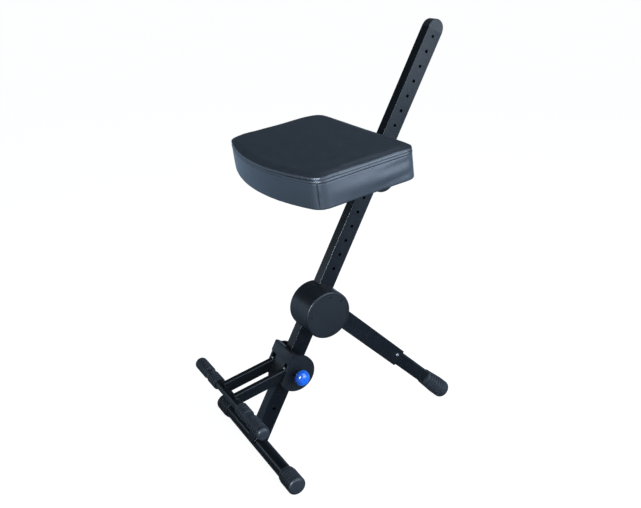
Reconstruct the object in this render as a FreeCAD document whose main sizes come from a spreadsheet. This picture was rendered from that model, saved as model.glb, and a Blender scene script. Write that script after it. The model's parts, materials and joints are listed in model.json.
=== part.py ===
"""Guitar stool: leaning post, sliding seat, sliding footrest, folding rear leg.

Units are millimetres and degrees. The sitter faces -Y, +X is the sitter's left and +Z is up.
The floor is z = 0. Every driving dimension is a cell of the sheet below.
"""
import FreeCAD, Part
import math
import os
import Sketcher

doc = FreeCAD.newDocument("guitar_stool")
sheet = doc.addObject("Spreadsheet::Sheet", "Sizes")

DRIVING_SIZES = [
    # post
    ("lean", 26.6, "post's lean back from upright, degrees"),
    ("foot_y", -229.72, "where the post's axis meets the floor"),
    ("post_depth", 40.0, "post tube, front to back"),
    ("post_width", 25.0, "post tube, side to side"),
    ("post_wall", 2.0, "wall of the post and outer leg tubes"),
    ("post_corner", 1.6, "corner radius of the post and outer leg tubes"),
    ("post_top", 999.4, "top of the post tube, along the post"),
    ("cap_collar", 3.5, "straight part of the plug below its dome"),
    ("cap_round", 3.0, "rounding of the dome's rims"),
    ("cap_stem", 24.0, "plug inside the tube"),
    ("hole_dia", 7.2, "holes for the lock pins"),
    ("hole_pitch", 33.5, "pitch of the seat's holes"),
    ("hole_count", 17, "seat's holes"),
    ("top_hole", 985.4, "topmost hole, along the post"),
    # floor bar
    ("bar_radius", 16.0, "floor bar"),
    ("bar_wall", 2.0, "wall of the floor bar"),
    ("bar_half", 178.0, "half the floor bar's length"),
    ("bar_back", 2.4, "floor bar's centre behind the post's axis"),
    ("foot_radius", 20.2, "floor bar's feet at their widest"),
    ("foot_wall", 1.8, "rubber feet over the tube at their start"),
    ("foot_groove", 1.0, "depth of the grooves between ribs"),
    ("foot_flat", 1.6, "flat worn under the feet"),
    ("foot_length", 51.6, "floor bar's feet"),
    ("foot_end", 8.0, "solid end of a foot"),
    ("foot_round", 4.5, "rounding of a foot's end"),
    ("rib_lead", 2.5, "first rib from the start of the rubber"),
    ("rib_width", 4.1, "rib on the bars' rubber"),
    ("rib_pitch", 7.3, "pitch of the ribs on the bars' rubber"),
    ("rib_count", 6, "ribs on a foot or end cap"),
    ("foot_flare_count", 2, "ribs over which a floor bar's foot grows to its widest"),
    # hub
    ("hub_s", 357.0, "hub's centre, along the post"),
    ("hub_radius", 54.0, "drum of the hub"),
    ("hub_far", 16.5, "far face of the drum from the post's axis"),
    ("hub_near", 60.5, "near face of the drum from the post's axis"),
    ("hub_wall", 3.0, "wall of the drum's shells"),
    ("hub_round", 4.0, "rounding of the drum's rims"),
    ("hub_gap", 0.6, "gap between the drum's two halves"),
    ("cover_thick", 7.0, "near cover of the drum"),
    ("cover_recess", 0.8, "shallow recess in the cover's face"),
    ("cover_rim", 5.5, "raised rim round the recess"),
    ("plate_thick", 4.5, "steel hinge plates"),
    ("friction_thick", 1.4, "friction washer between the plates"),
    ("friction_radius", 28.0, "friction washer"),
    ("axle_radius", 5.0, "hinge bolt"),
    ("axle_hex", 9.8, "corner radius of the bolt's head and nut"),
    ("axle_head", 6.4, "height of the bolt's head"),
    ("axle_nut", 8.0, "height of the nut"),
    ("washer_radius", 10.0, "washers on the hinge bolt"),
    ("washer_thick", 1.5, "washers on the hinge bolt"),
    ("axle_cap_radius", 15.0, "cap over the nut"),
    ("thread_past", 1.0, "hinge bolt's end past its nut"),
    ("boss_ring", 42.6, "radius on which the drum's screws sit"),
    ("screw_radius", 2.0, "small screws"),
    ("screw_head", 3.8, "head radius of the small screws"),
    ("screw_head_height", 2.4, "head height of the small screws"),
    ("screw_tip", 1.0, "cover screws' ends from the leg's plate"),
    # rear leg
    ("leg_angle", 47.3, "rear leg from upright, degrees"),
    ("leg_offset", 13.4, "leg's axis above the hub's centre"),
    ("leg_start", 17.0, "inner end of the leg tube from the hub's centre"),
    ("leg_mouth", 264.0, "outer end of the leg tube from the hub's centre"),
    ("slider_depth", 32.4, "inner leg tube, top to bottom"),
    ("slider_width", 18.0, "inner leg tube, side to side"),
    ("slider_corner", 5.0, "corner radius of the inner leg tube"),
    ("slider_wall", 1.6, "wall of the inner leg tube"),
    ("slider_overlap", 110.0, "inner tube inside the outer one"),
    ("bush_length", 42.0, "plastic bush in the leg tube's mouth"),
    ("rear_foot_length", 86.0, "rubber foot of the rear leg"),
    ("rear_foot_radius", 21.5, "rear foot at its widest"),
    ("rear_rib_width", 5.2, "rib on the rear foot"),
    ("rear_rib_pitch", 9.6, "pitch of the ribs on the rear foot"),
    ("rear_foot_pass", 0.6, "rear foot's flat far side from the seat's cheek, when folded"),
    ("rear_foot_flat", 1.5, "how much of the rear foot is cut flat"),
    ("leg_screw_back", 13.0, "clamp screw from the tube's mouth"),
    ("leg_screw_rise", 4.4, "clamp screw above the leg's axis"),
    # seat
    ("seat_angle", 8.4, "seat's slope down to the front, degrees"),
    ("seat_rise", 101.7, "seat's back top edge above its lock pin, along the post"),
    ("seat_k", -62.0, "seat's back top edge, in front of the post's axis"),
    ("seat_half_back", 189.5, "half the seat's width at its back"),
    ("seat_half_front", 191.5, "half the seat's width at its front corners"),
    ("seat_side_depth", 229.0, "seat's front corners from its back edge"),
    ("seat_depth", 268.0, "middle of the seat's front from its back edge"),
    ("seat_height", 61.0, "side wall of the cushion"),
    ("seat_crown", 7.0, "crown of the cushion above its edge"),
    ("crown_reach", 88.0, "how far inside the edge the crown is full"),
    ("seat_corner", 30.0, "rounding of the rear corners"),
    ("seat_front_corner", 12.0, "softening of the front corners"),
    ("seat_edge", 7.0, "rounding of the cushion's top edge"),
    ("seat_tuck", 5.0, "how far the cushion's lower edge is tucked in"),
    ("seat_draw", 2.0, "how far the sides are drawn in between corners"),
    ("board_thick", 12.0, "plywood board"),
    ("board_inset", 9.0, "board's edge inside the cushion's side"),
    ("plate_half", 62.0, "half the width of the seat's steel plate"),
    ("plate_front", 175.0, "front edge of the seat's steel plate"),
    ("plate_back", 8.0, "back edge of the seat's steel plate"),
    ("plate_screw_edge", 13.0, "seat screws from the plate's edges"),
    ("screw_short", 2.0, "seat screws' ends below the board's top"),
    ("seat_plate_thick", 3.0, "seat's steel plate"),
    ("cheek_thick", 2.5, "cheeks beside the post"),
    ("cheek_front", 150.0, "front end of the cheeks under the plate"),
    ("cheek_nose", 18.0, "height of the cheeks' front end"),
    ("cheek_tail_k", 23.5, "centre of the cheeks' round tail, behind the post's axis"),
    ("cheek_tail_rise", 22.5, "centre of the cheeks' round tail above the lock pin"),
    ("cheek_tail", 33.0, "radius of the cheeks' round tail"),
    ("guide_thick", 1.0, "plastic guides between cheeks and post"),
    ("guide_edge", 2.0, "guides' edges inside the post's face"),
    ("guide_down", 7.0, "guides below the lock pin"),
    ("guide_up", 36.0, "guides above the lock pin"),
    ("slide_gap", 0.3, "play between the post and what slides on it"),
    ("seat_hole_count", 10, "holes above the one that the seat is set to"),
    ("roller_radius", 7.0, "rollers before and behind the post"),
    ("roller_front_rise", -3.0, "front roller above the lock pin"),
    ("roller_rear_rise", 25.0, "rear roller above the lock pin"),
    ("roller_bolt", 3.0, "bolts of the rollers"),
    ("roller_head", 5.5, "heads of the roller bolts"),
    ("roller_head_height", 3.0, "heads of the roller bolts"),
    # lock plungers
    ("pin_radius", 3.4, "lock pins"),
    ("pin_fit", 0.05, "running fit of pins and bolts"),
    ("pin_collar", 6.0, "collar on a lock pin"),
    ("pin_collar_length", 2.0, "collar on a lock pin"),
    ("spring_outer", 5.7, "outside of a lock spring"),
    ("spring_inner", 4.4, "inside of a lock spring"),
    ("boss_outer", 9.5, "barrels round the lock springs"),
    ("boss_wall", 3.0, "end wall of a barrel"),
    ("seat_barrel", 27.0, "length of the seat lock's barrel"),
    ("rest_barrel", 13.0, "length of the footrest lock's barrel"),
    ("knob_radius", 17.8, "knobs of the seat and footrest"),
    ("knob_length", 21.0, "knobs of the seat and footrest"),
    ("knob_round", 13.0, "rounded front of the knobs"),
    ("knob_socket", 12.0, "depth of the pin in its knob"),
    ("hub_lock_k", 36.0, "hub's lock pin, behind the post's axis"),
    ("hub_knob_radius", 11.0, "knob of the hub's lock"),
    ("hub_knob_length", 15.0, "knob of the hub's lock"),
    # footrest
    ("rest_s", 208.2, "centre of the footrest's cheeks, along the post"),
    ("rest_cheek", 42.7, "round cheeks of the footrest's clamp"),
    ("rest_half", 40.0, "half the clamp's width"),
    ("rest_cheek_thick", 6.0, "cheeks of the clamp"),
    ("rest_front", 30.5, "clamp's front face before the post's axis"),
    ("rest_cheek_set", 1.0, "cheeks' straight front behind the clamp's front face"),
    ("rest_lip", 13.8, "lower edge of the front plate above the cheeks' centre"),
    ("rest_top", 40.8, "top edge of the front plate above the cheeks' centre"),
    ("rest_web", 7.5, "wall between the arms"),
    ("rest_web_drop", 38.0, "bottom of that wall below the cheeks' centre"),
    ("rest_flange", 3.0, "top flanges between cheeks, front plate and post"),
    ("clamp_screw_down", 5.0, "clamp's screws below the front plate's top"),
    ("clamp_screw_depth", 12.0, "length of the clamp's screws"),
    ("rest_step", 100.5, "travel between the footrest's two holes"),
    ("arm_angle", 12.7, "arms' slope down to the front, degrees"),
    ("arm_rise", 6.5, "arms' line above the cheeks' centre"),
    ("arm_length", 149.0, "from the cheeks' centre to the footrest's bar"),
    ("arm_depth", 26.0, "arm tube, top to bottom"),
    ("arm_width", 12.0, "arm tube, side to side"),
    ("arm_wall", 1.6, "wall of the arm tubes"),
    ("arm_corner", 2.5, "corner radius of the arm tubes"),
    ("arm_tail", 14.0, "arms behind the cheeks' centre"),
    ("arm_gap", 0.6, "arm from the clamp's cheek"),
    ("liner_half", 17.0, "half the clamp liners' depth"),
    ("liner_up", 30.0, "clamp liners above the cheeks' centre"),
    ("liner_down", 30.0, "clamp liners below the cheeks' centre"),
    ("arm_screw_at", 23.0, "arms' screws before the cheeks' centre, along the arms"),
    ("arm_screw_head", 3.0, "head radius of the arms' screws"),
    ("arm_screw_length", 8.0, "arms' screws below their heads"),
    ("rear_bolt_rise", 17.0, "clamp's rear bolt above the cheeks' centre"),
    ("bolt_cover", 2.0, "wall left over the rear bolt's end"),
    ("rest_bar_drop", 5.4, "footrest's bar below the arms' line"),
    ("rest_bar_radius", 10.0, "footrest's bar"),
    ("rest_bar_wall", 1.6, "wall of the footrest's bar"),
    ("rest_bar_half", 155.0, "half the footrest's bar"),
    ("grip_radius", 14.4, "rubber grips over their ribs"),
    ("grip_groove", 1.3, "grooves between the grips' ribs"),
    ("sleeve_start", 54.4, "inner sleeves from the middle"),
    ("sleeve_length", 51.5, "inner sleeves"),
    ("sleeve_rib_count", 5, "ribs on an inner sleeve"),
    ("grip_gap", 1.0, "gap between sleeve and end cap"),
    ("end_cap_length", 58.0, "end caps of the footrest's bar"),
    ("grip_round", 7.0, "rounding of the end caps"),
    # general
    ("weld_gap", 0.05, "play where a welded tube is cut to fit a round one"),
    ("seat_fit", 0.1, "play of plugs, liners and flat faces that turn"),
]

for row, (alias, value, meaning) in enumerate(DRIVING_SIZES, 1):
    sheet.set(f"A{row}", meaning)
    sheet.set(f"B{row}", str(value))
    sheet.setAlias(f"B{row}", alias)
doc.recompute()


class Size:
    """A number with its present value and the expression on the sheet that gives it."""

    def __init__(self, value, text):
        self.value = float(value)
        self.text = text

    def __add__(self, other):
        other = as_size(other)
        return Size(self.value + other.value, f"({self.text} + {other.text})")

    def __sub__(self, other):
        other = as_size(other)
        return Size(self.value - other.value, f"({self.text} - {other.text})")

    def __mul__(self, other):
        other = as_size(other)
        return Size(self.value * other.value, f"({self.text} * {other.text})")

    def __truediv__(self, other):
        other = as_size(other)
        return Size(self.value / other.value, f"({self.text} / {other.text})")

    def __neg__(self):
        return Size(-self.value, f"(0 - {self.text})")

    def __radd__(self, other):
        return as_size(other) + self

    def __rsub__(self, other):
        return as_size(other) - self

    def __rmul__(self, other):
        return as_size(other) * self


def as_size(number):
    return number if isinstance(number, Size) else Size(number, repr(float(number)))


def sine(angle):
    return Size(math.sin(math.radians(angle.value)), f"sin({angle.text} * 1 deg)")


def cosine(angle):
    return Size(math.cos(math.radians(angle.value)), f"cos({angle.text} * 1 deg)")


class Sizes:
    """Every driving dimension by its name."""


for alias, value, meaning in DRIVING_SIZES:
    setattr(Sizes, alias, Size(sheet.get(alias), f"Sizes.{alias}"))
S = Sizes


class Frame:
    """A place whose axes are the stool's, turned about X."""

    def __init__(self, y, z, angle):
        self.y = as_size(y)
        self.z = as_size(z)
        self.angle = as_size(angle)

    def point(self, y, z):
        """a point of this frame as the stool's own y and z"""
        c, s = cosine(self.angle), sine(self.angle)
        return self.y + c * y - s * z, self.z + s * y + c * z


FLOOR = Frame(0, 0, 0)
POST = Frame(S.foot_y, 0, -S.lean)
HUB = Frame(*POST.point(0, S.hub_s), -S.lean)
LEG = Frame(HUB.y, HUB.z, 180 + S.leg_angle)
pin_s = S.top_hole - S.hole_pitch * S.seat_hole_count
seat_s = pin_s + S.seat_rise
SEAT = Frame(*POST.point(S.seat_k, seat_s), S.seat_angle)
REST = Frame(*POST.point(0, S.rest_s), -S.lean)
ARM = Frame(REST.y, REST.z + S.arm_rise, S.arm_angle)

X_AXIS = FreeCAD.Vector(1, 0, 0)
PAST = 1.0  # how far a cutting tool runs past the face it cuts
TINY = 1e-6  # below this two places are the same
nodes = []


# basic shapes

def bind(obj, prop, size):
    obj.setExpression(prop, as_size(size).text)


def place(obj, frame, x=0, y=0, z=0):
    """put a shape that was made at the origin at a point of a frame, turned with it"""
    wide, tall = frame.point(y, z)
    obj.Placement = FreeCAD.Placement(FreeCAD.Vector(), FreeCAD.Rotation(X_AXIS, frame.angle.value or 360))
    bind(obj, "Placement.Base.x", x)
    bind(obj, "Placement.Base.y", wide)
    bind(obj, "Placement.Base.z", tall)
    bind(obj, "Placement.Rotation.Angle", frame.angle)
    return obj


def box(frame, x0, x1, y0, y1, z0, z1):
    obj = doc.addObject("Part::Box", "block")
    bind(obj, "Length", as_size(x1) - x0)
    bind(obj, "Width", as_size(y1) - y0)
    bind(obj, "Height", as_size(z1) - z0)
    return place(obj, frame, x0, y0, z0)


def along_x(obj, frame, x0, y, z):
    """turn a shape that stands on its base so that it lies along X"""
    wide, tall = frame.point(y, z)
    obj.Placement = FreeCAD.Placement(FreeCAD.Vector(), FreeCAD.Rotation(FreeCAD.Vector(0, 1, 0), 90))
    bind(obj, "Placement.Base.x", x0)
    bind(obj, "Placement.Base.y", wide)
    bind(obj, "Placement.Base.z", tall)
    return obj


def rod(frame, radius, x0, x1, y=0, z=0):
    """a round bar along X"""
    obj = doc.addObject("Part::Cylinder", "rod")
    bind(obj, "Radius", radius)
    bind(obj, "Height", as_size(x1) - x0)
    return along_x(obj, frame, x0, y, z)


def stud(frame, radius, x, y, z0, z1):
    """a round bar that stands up in a frame"""
    obj = doc.addObject("Part::Cylinder", "stud")
    bind(obj, "Radius", radius)
    bind(obj, "Height", as_size(z1) - z0)
    return place(obj, frame, x, y, z0)


def hexagon(frame, corner, x0, x1, y=0, z=0):
    """a hexagonal bar along X"""
    obj = doc.addObject("Part::Prism", "hexagon")
    obj.Polygon = 6
    bind(obj, "Circumradius", corner)
    bind(obj, "Height", as_size(x1) - x0)
    return along_x(obj, frame, x0, y, z)


def fuse(*pieces):
    obj = doc.addObject("Part::MultiFuse", "joined")
    obj.Shapes = list(pieces)
    return obj


def cut(base, *tools):
    obj = doc.addObject("Part::Cut", "cut")
    obj.Base = base
    obj.Tool = tools[0] if len(tools) == 1 else fuse(*tools)
    return obj


def common(base, tool):
    obj = doc.addObject("Part::Common", "kept")
    obj.Base = base
    obj.Tool = tool
    return obj


def group(*pieces):
    """separate solids that share a node"""
    obj = doc.addObject("Part::Compound", "group")
    obj.Links = list(pieces)
    return obj


def node(label, obj):
    """name a finished piece"""
    obj.Label = label
    nodes.append(obj)
    return obj


# sketched shapes

def new_sketch(body, role):
    plane = [item for item in body.Origin.OriginFeatures if item.Role == role][0]
    sketch = body.newObject("Sketcher::SketchObject", "profile")
    sketch.AttachmentSupport = [(plane, "")]
    sketch.MapMode = "FlatFace"
    return sketch


def draw_outline(sketch, points):
    """a closed outline of straight lines whose corners follow the sheet"""
    points = [(as_size(a), as_size(b)) for a, b in points]
    corners = [FreeCAD.Vector(a.value, b.value, 0) for a, b in points]
    count = len(points)
    for i in range(count):
        sketch.addGeometry(Part.LineSegment(corners[i], corners[(i + 1) % count]), False)
    for i in range(count):
        sketch.addConstraint(Sketcher.Constraint("Coincident", i, 2, (i + 1) % count, 1))
    for i, (a, b) in enumerate(points):
        for kind, size in (("DistanceX", a), ("DistanceY", b)):
            index = sketch.addConstraint(Sketcher.Constraint(kind, -1, 1, i, 1, size.value))
            sketch.setExpression(f"Constraints[{index}]", size.text)


def round_edges(body, base, chosen, radius):
    """fillet those edges of a body's last feature that a test picks"""
    doc.recompute()
    names = [f"Edge{i}" for i, edge in enumerate(base.Shape.Edges, 1) if chosen(edge)]
    fillet = body.newObject("PartDesign::Fillet", "rounded")
    fillet.Base = (base, names)
    bind(fillet, "Radius", radius)
    return fillet


def is_upright(edge):
    box_of_edge = edge.BoundBox
    return box_of_edge.ZLength > TINY and box_of_edge.XLength + box_of_edge.YLength < TINY


def bar_body(width, depth, length, corner):
    """a bar with rounded corners that stands on the origin"""
    body = doc.addObject("PartDesign::Body", "bar")
    sketch = new_sketch(body, "XY_Plane")
    w, d = as_size(width) / 2, as_size(depth) / 2
    draw_outline(sketch, [(-w, -d), (w, -d), (w, d), (-w, d)])
    pad = body.newObject("PartDesign::Pad", "length")
    pad.Profile = sketch
    bind(pad, "Length", length)
    round_edges(body, pad, is_upright, corner)
    return body


def plate_body(points, thickness):
    """a flat plate square to X, from an outline in y and z"""
    body = doc.addObject("PartDesign::Body", "plate")
    sketch = new_sketch(body, "YZ_Plane")
    draw_outline(sketch, points)
    pad = body.newObject("PartDesign::Pad", "thickness")
    pad.Profile = sketch
    bind(pad, "Length", thickness)
    return body


def turned_body(points, round_at=None, rounding=None):
    """a shape turned about X from an outline of lengths and radii, its end rounded"""
    body = doc.addObject("PartDesign::Body", "turned")
    sketch = new_sketch(body, "XY_Plane")
    draw_outline(sketch, points)
    turn = body.newObject("PartDesign::Revolution", "turn")
    turn.Profile = sketch
    turn.ReferenceAxis = (sketch, ["H_Axis"])
    turn.Angle = 360
    if round_at is not None:
        at = as_size(round_at).value

        def is_end(edge):
            return abs(edge.BoundBox.XMin - at) + abs(edge.BoundBox.XMax - at) < TINY

        round_edges(body, turn, is_end, rounding)
    return body


def ribbed_points(length, narrow, radius, groove, pitch, width, count, flare, closed):
    """outline of a rubber sleeve: ribs that grow from a narrow start, then a plain end"""
    points = [(0, 0), (0, narrow)]
    root = narrow
    for i in range(count):
        crest = narrow + (radius - narrow) * (min(i + 1, flare) / flare)
        start = S.rib_lead + pitch * i
        points += [(start, root), (start, crest), (start + width, crest)]
        root = crest - groove
        points.append((start + width, root))
    plain = S.rib_lead + pitch * count
    if closed:
        points += [(plain, root), (plain, radius), (length, radius), (length, 0)]
    else:
        points += [(length, root), (length, 0)]
    return points


def facing(body, frame, x, y, z, side):
    """put a turned body at a point of a frame, its end towards +X or -X"""
    wide, tall = frame.point(y, z)
    turn = FreeCAD.Rotation(FreeCAD.Vector(0, 0, 1), 0 if side > 0 else 180)
    body.Placement = FreeCAD.Placement(FreeCAD.Vector(), turn)
    bind(body, "Placement.Base.x", x)
    bind(body, "Placement.Base.y", wide)
    bind(body, "Placement.Base.z", tall)
    return body


def rounded_drum(frame, radius, x0, x1, rounding, side):
    """a disc along X with one rim rounded"""
    length = as_size(x1) - x0
    body = turned_body([(0, 0), (0, radius), (length, radius), (length, 0)], length, rounding)
    return facing(body, frame, x0 if side > 0 else x1, 0, 0, side)


SIDES = (("near", 1), ("far", -1))
half_width = S.post_width / 2
half_depth = S.post_depth / 2
inner_width = S.post_width - 2 * S.post_wall
inner_depth = S.post_depth - 2 * S.post_wall

# floor bar and its feet
bar_height = S.foot_radius - S.foot_flat
bar_s = bar_height / cosine(S.lean)
bar_y = POST.point(0, bar_s)[0] + S.bar_back
BAR = Frame(bar_y, bar_height, 0)
node("floor_bar", cut(rod(BAR, S.bar_radius, -S.bar_half, S.bar_half),
                      rod(BAR, S.bar_radius - S.bar_wall, -S.bar_half - PAST, S.bar_half + PAST)))
foot_start = S.bar_half + S.foot_end - S.foot_length
rib_count = int(S.rib_count.value)
for side_name, side in SIDES:
    points = ribbed_points(S.foot_length, S.bar_radius + S.foot_wall, S.foot_radius, S.foot_groove,
                           S.rib_pitch, S.rib_width, rib_count, int(S.foot_flare_count.value), True)
    rubber = turned_body(points, S.foot_length, S.foot_round)
    facing(rubber, BAR, side * foot_start, 0, 0, side)
    ends = (foot_start - PAST, S.bar_half) if side > 0 else (-S.bar_half, PAST - foot_start)
    bore = rod(BAR, S.bar_radius + S.weld_gap, *ends)
    under = box(FLOOR, -S.bar_half - S.foot_length, S.bar_half + S.foot_length,
                bar_y - S.foot_radius, bar_y + S.foot_radius, -S.foot_radius, 0)
    node(f"bar_foot_{side_name}", cut(rubber, bore, under))

# post tube with its rows of holes
tube = place(bar_body(S.post_width, S.post_depth, S.post_top - bar_s, S.post_corner), POST, 0, 0, bar_s)
hollow = place(bar_body(inner_width, inner_depth, S.post_top - bar_s + 2 * PAST, S.post_corner / 2),
               POST, 0, 0, bar_s - PAST)
hole_places = [S.top_hole - S.hole_pitch * i for i in range(int(S.hole_count.value))]
hole_places += [S.rest_s, S.rest_s - S.rest_step]
pin_holes = [rod(POST, S.hole_dia / 2, -half_width - PAST, half_width + PAST, 0, hole_s)
             for hole_s in hole_places]
axle_hole = rod(HUB, S.axle_radius + S.pin_fit, -half_width - PAST, half_width + PAST)
saddle = rod(BAR, S.bar_radius + S.weld_gap, -S.post_width, S.post_width)
node("post_tube", cut(tube, hollow, axle_hole, saddle, *pin_holes))

DOME = Frame(*POST.point(0, S.post_top + S.cap_collar), -S.lean)
dome = cut(fuse(rounded_drum(DOME, half_depth, 0, half_width, S.cap_round, 1),
                rounded_drum(DOME, half_depth, -half_width, 0, S.cap_round, -1)),
           box(DOME, -S.post_width, S.post_width, -S.post_depth, S.post_depth, -S.post_depth, 0))
collar = place(bar_body(S.post_width, S.post_depth, S.cap_collar, S.post_corner), POST, 0, 0, S.post_top)
cap_stem = place(bar_body(inner_width - 2 * S.seat_fit, inner_depth - 2 * S.seat_fit, S.cap_stem + PAST,
                          S.post_corner / 2), POST, 0, 0, S.post_top - S.cap_stem)
cap_hole = rod(POST, S.hole_dia / 2, -half_width - PAST, half_width + PAST, 0, S.top_hole)
node("post_cap", cut(fuse(dome, collar, cap_stem), cap_hole))

# hub: the half that is fixed to the post

def ring_places(*turns):
    """screw places on the drum, by their turn in degrees from straight back towards the post's top"""
    return [(S.boss_ring * cosine(as_size(turn)), S.boss_ring * sine(as_size(turn))) for turn in turns]


post_plate_x = half_width
leg_plate_x = post_plate_x + S.plate_thick + S.friction_thick + S.seat_fit
leg_x = leg_plate_x + S.plate_thick + half_width
shell_inner = S.hub_radius - S.hub_wall
boss_radius = S.hub_radius - S.hub_wall / 2 - S.boss_ring
channel = half_depth + S.seat_fit
far_rim = post_plate_x + S.plate_thick + S.seat_fit
far_drum = rounded_drum(HUB, S.hub_radius, -S.hub_far, far_rim, S.hub_round, -1)
post_channel = box(HUB, -half_width - S.seat_fit, half_width, -channel, channel,
                   -S.hub_radius - PAST, S.hub_radius + PAST)
plate_seat = rod(HUB, shell_inner, post_plate_x, far_rim + PAST)
shell_screws = ring_places(30, 150, 210, 330)
walls = [box(HUB, -S.hub_far, far_rim, -channel - S.hub_wall, channel + S.hub_wall,
             -S.hub_radius, S.hub_radius),
         rod(HUB, S.boss_outer, -S.hub_far, far_rim, S.hub_lock_k, 0)]
walls += [rod(HUB, boss_radius, -S.hub_far, far_rim, y, z) for y, z in shell_screws]
shell_hollow = cut(rod(HUB, shell_inner, -S.hub_far + S.hub_wall, post_plate_x), *walls)
lock_bore = rod(HUB, S.spring_outer + S.slide_gap, -S.hub_far + S.boss_wall, post_plate_x, S.hub_lock_k, 0)
lock_hole = rod(HUB, S.pin_radius + S.pin_fit, -S.hub_far - PAST, post_plate_x, S.hub_lock_k, 0)
nut_window = rod(HUB, S.axle_cap_radius, -S.hub_far - PAST, -half_width)
screw_ways = [rod(HUB, S.screw_radius + S.pin_fit, -S.hub_far - PAST, post_plate_x, y, z)
              for y, z in shell_screws]
sink_x = -S.hub_far + S.screw_head_height
screw_sinks = [rod(HUB, S.screw_head + S.seat_fit, -S.hub_far - PAST, sink_x, y, z) for y, z in shell_screws]
node("hub_far_shell", cut(far_drum, post_channel, plate_seat, shell_hollow, lock_bore, lock_hole, nut_window,
                          *screw_ways, *screw_sinks))
screw_end = post_plate_x + S.plate_thick - S.seat_fit
node("hub_shell_screws", group(*[
    fuse(rod(HUB, S.screw_head, -S.hub_far, sink_x, y, z),
         rod(HUB, S.screw_radius, sink_x - PAST, screw_end, y, z)) for y, z in shell_screws]))
node("hub_post_plate", cut(rod(HUB, shell_inner - S.seat_fit, post_plate_x, post_plate_x + S.plate_thick),
                           rod(HUB, S.axle_radius + S.pin_fit, post_plate_x - PAST, leg_plate_x),
                           rod(HUB, S.pin_radius + S.pin_fit, post_plate_x - PAST, leg_plate_x,
                               S.hub_lock_k, 0),
                           *[rod(HUB, S.screw_radius + S.pin_fit, post_plate_x - PAST, leg_plate_x, y, z)
                             for y, z in shell_screws]))
friction_x = post_plate_x + S.plate_thick
node("hub_friction_washer", cut(rod(HUB, S.friction_radius, friction_x, friction_x + S.friction_thick),
                                rod(HUB, S.axle_radius + S.pin_fit, friction_x - PAST, leg_plate_x + PAST)))
head_x = leg_plate_x + S.plate_thick + S.seat_fit
node("hub_near_washer", cut(rod(HUB, S.washer_radius, head_x, head_x + S.washer_thick),
                            rod(HUB, S.axle_radius + S.pin_fit, head_x - PAST, head_x + S.washer_thick + PAST)))
nut_x = -half_width - S.washer_thick
node("hub_far_washer", cut(rod(HUB, S.washer_radius, nut_x, -half_width),
                           rod(HUB, S.axle_radius + S.pin_fit, nut_x - PAST, -half_width + PAST)))
bolt_head_x = head_x + S.washer_thick
bolt_end = nut_x - S.axle_nut - S.thread_past
node("hub_axle_bolt", fuse(rod(HUB, S.axle_radius, bolt_end, bolt_head_x + PAST),
                           hexagon(HUB, S.axle_hex, bolt_head_x, bolt_head_x + S.axle_head)))
node("hub_axle_nut", cut(hexagon(HUB, S.axle_hex, nut_x - S.axle_nut, nut_x),
                         rod(HUB, S.axle_radius + S.pin_fit, nut_x - S.axle_nut - PAST, nut_x + PAST)))
cap_x = bolt_end - S.slide_gap - S.hub_wall
axle_cap = rounded_drum(HUB, S.axle_cap_radius - S.seat_fit, cap_x, -half_width - S.seat_fit, S.hub_round, -1)
node("hub_axle_cap", cut(axle_cap, rod(HUB, S.axle_cap_radius - S.hub_wall, cap_x + S.hub_wall, -half_width)))

# hub lock: a spring plunger behind the post
hub_knob_x = -S.hub_far - S.slide_gap
hub_socket = hub_knob_x - S.hub_knob_length + S.hub_wall
hub_tip = leg_plate_x - S.slide_gap
hub_collar = post_plate_x - S.seat_fit
node("hub_lock_pin", fuse(
    rod(HUB, S.pin_radius, hub_socket, hub_tip, S.hub_lock_k, 0),
    rod(HUB, S.pin_collar - S.slide_gap, hub_collar - S.pin_collar_length, hub_collar, S.hub_lock_k, 0)))
node("hub_lock_spring", cut(
    rod(HUB, S.spring_outer, -S.hub_far + S.boss_wall, hub_collar - S.pin_collar_length, S.hub_lock_k, 0),
    rod(HUB, S.spring_inner, -S.hub_far, hub_collar, S.hub_lock_k, 0)))
hub_knob = turned_body([(0, 0), (0, S.hub_knob_radius - S.hub_wall), (S.hub_wall, S.hub_knob_radius),
                        (S.hub_knob_length, S.hub_knob_radius), (S.hub_knob_length, 0)],
                       S.hub_knob_length, S.hub_round)
facing(hub_knob, HUB, hub_knob_x, S.hub_lock_k, 0, -1)
node("hub_lock_knob", cut(hub_knob, rod(HUB, S.pin_radius + S.pin_fit, hub_socket, hub_knob_x + PAST,
                                        S.hub_lock_k, 0)))

# hub: the half that turns with the rear leg
leg_y = -S.leg_offset
near_rim = far_rim + S.hub_gap
cover_x = S.hub_near - S.cover_thick
cover_screws = ring_places(112, 69, -51, 198)
disc_end = leg_plate_x + S.plate_thick
node("hub_leg_plate", cut(rod(HUB, shell_inner - S.seat_fit, leg_plate_x, disc_end),
                          rod(HUB, S.axle_radius + S.pin_fit, leg_plate_x - PAST, disc_end + PAST),
                          rod(HUB, S.pin_radius + S.slide_gap, leg_plate_x - PAST, disc_end + PAST,
                              S.hub_lock_k, 0)))
near_ring = cut(rod(HUB, S.hub_radius, near_rim, cover_x),
                rod(HUB, shell_inner, near_rim - PAST, cover_x + PAST))
bosses = [rod(HUB, boss_radius, disc_end, cover_x, y, z) for y, z in cover_screws]
leg_channel = box(LEG, leg_x - half_width - S.seat_fit, leg_x + half_width + S.seat_fit,
                  leg_y - channel, leg_y + channel, S.leg_start, S.hub_radius + PAST)
cover_ways = fuse(*[rod(HUB, S.screw_radius + S.pin_fit, disc_end, S.hub_near + PAST, y, z)
                    for y, z in cover_screws])
node("hub_near_shell", cut(fuse(near_ring, *bosses), leg_channel, cover_ways))
cover_face = S.hub_near - S.cover_recess
cover_sinks = [rod(HUB, S.screw_head + S.seat_fit, cover_face - S.screw_head_height, S.hub_near, y, z)
               for y, z in cover_screws]
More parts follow.
